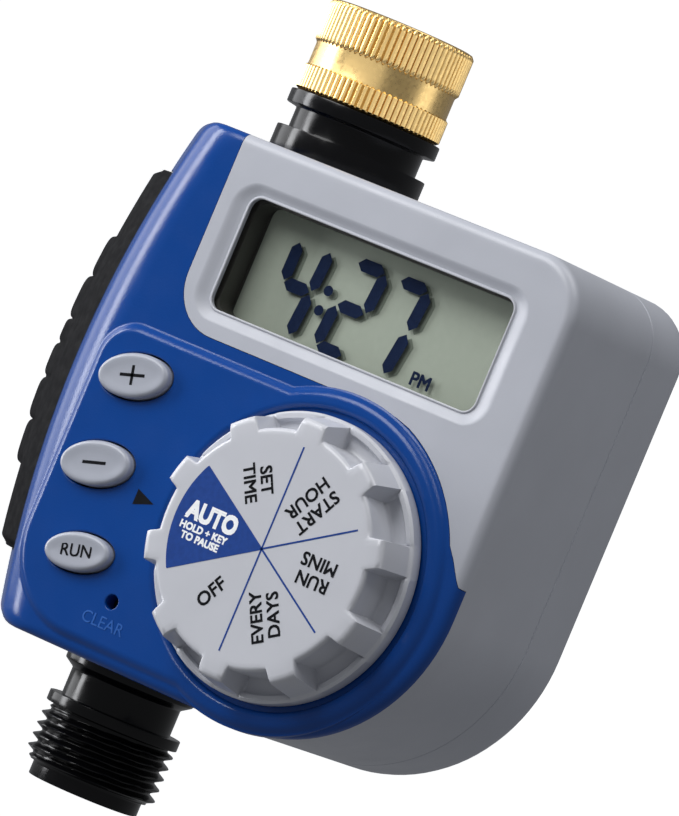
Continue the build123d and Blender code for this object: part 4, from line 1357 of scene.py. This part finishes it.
class TIMER_OT_front(bpy.types.Operator):
    """Builds the blue cover with its control panel and marks, and the grey front housing with its bezel"""
    bl_idname = "timer.front"
    bl_label = "Front cover and housing"

    def execute(self, context):
        front_pieces()
        panel_marks()
        return {"FINISHED"}


class TIMER_OT_rear(bpy.types.Operator):
    """Builds the rear half of the case with its screw recesses"""
    bl_idname = "timer.rear"
    bl_label = "Rear housing"

    def execute(self, context):
        rear_piece()
        return {"FINISHED"}


class TIMER_OT_display(bpy.types.Operator):
    """Builds the display's reflector, the lip round its window, the digits and their shade"""
    bl_idname = "timer.display"
    bl_label = "Display"

    def execute(self, context):
        display_pieces()
        return {"FINISHED"}


class TIMER_OT_buttons(bpy.types.Operator):
    """Builds the three oval buttons and their marks"""
    bl_idname = "timer.buttons"
    bl_label = "Buttons"

    def execute(self, context):
        button_pieces()
        return {"FINISHED"}


class TIMER_OT_dial(bpy.types.Operator):
    """Builds the program dial with its lugs and print"""
    bl_idname = "timer.dial"
    bl_label = "Dial"

    def execute(self, context):
        dial_pieces()
        return {"FINISHED"}


class TIMER_OT_inlet(bpy.types.Operator):
    """Builds the knurled brass nut and the black neck under it"""
    bl_idname = "timer.inlet"
    bl_label = "Inlet nut and neck"

    def execute(self, context):
        nut_piece()
        collar_piece()
        return {"FINISHED"}


class TIMER_OT_outlet(bpy.types.Operator):
    """Builds the outlet with its hose thread"""
    bl_idname = "timer.outlet"
    bl_label = "Outlet"

    def execute(self, context):
        outlet_piece()
        return {"FINISHED"}


class TIMER_OT_grip(bpy.types.Operator):
    """Builds the ribbed rubber grip of the battery tray"""
    bl_idname = "timer.grip"
    bl_label = "Battery tray grip"

    def execute(self, context):
        grip_piece()
        return {"FINISHED"}


class TIMER_OT_springs(bpy.types.Operator):
    """Builds the two springs inside the valve"""
    bl_idname = "timer.springs"
    bl_label = "Valve springs"

    def execute(self, context):
        valve_springs()
        return {"FINISHED"}


class TIMER_OT_finishes(bpy.types.Operator):
    """Gives the remaining nodes their finishes"""
    bl_idname = "timer.finishes"
    bl_label = "Finishes"

    def execute(self, context):
        finish_nodes()
        return {"FINISHED"}


class TIMER_OT_stage(bpy.types.Operator):
    """Sets up the floor, the lights and the camera"""
    bl_idname = "timer.stage"
    bl_label = "Stage"

    def execute(self, context):
        studio()
        return {"FINISHED"}


OPERATORS = (TIMER_OT_finishes, TIMER_OT_front, TIMER_OT_rear, TIMER_OT_display, TIMER_OT_buttons,
             TIMER_OT_dial, TIMER_OT_inlet, TIMER_OT_outlet, TIMER_OT_grip, TIMER_OT_springs, TIMER_OT_stage)
GROUPS = {"timer_finishes": TimerFinishes, "timer_case": TimerCase, "timer_panel": TimerPanel,
          "timer_dial": TimerDial, "timer_thread": TimerThread}


class TIMER_PT_build(bpy.types.Panel):
    """Lists the pieces of the timer and their settings"""
    bl_label = "Water Timer"
    bl_idname = "TIMER_PT_build"
    bl_space_type = "VIEW_3D"
    bl_region_type = "UI"
    bl_category = "Water Timer"

    def draw(self, context):
        for operator in OPERATORS:
            self.layout.operator(operator.bl_idname)
        for name, group in GROUPS.items():
            box = self.layout.box()
            for prop in group.__annotations__:
                box.prop(getattr(context.scene, name), prop)


CLASSES = (*GROUPS.values(), *OPERATORS, TIMER_PT_build)


def register():
    for cls in CLASSES:
        bpy.utils.register_class(cls)
    for name, group in GROUPS.items():
        setattr(bpy.types.Scene, name, PointerProperty(type=group))


def unregister():
    for name in GROUPS:
        delattr(bpy.types.Scene, name)
    for cls in reversed(CLASSES):
        bpy.utils.unregister_class(cls)


def main():
    register()
    bpy.ops.timer.finishes()
    bpy.ops.timer.front()
    bpy.ops.timer.rear()
    bpy.ops.timer.display()
    bpy.ops.timer.buttons()
    bpy.ops.timer.dial()
    bpy.ops.timer.inlet()
    bpy.ops.timer.outlet()
    bpy.ops.timer.grip()
    bpy.ops.timer.springs()
    bpy.ops.timer.stage()


if __name__ == "__main__":
    main()
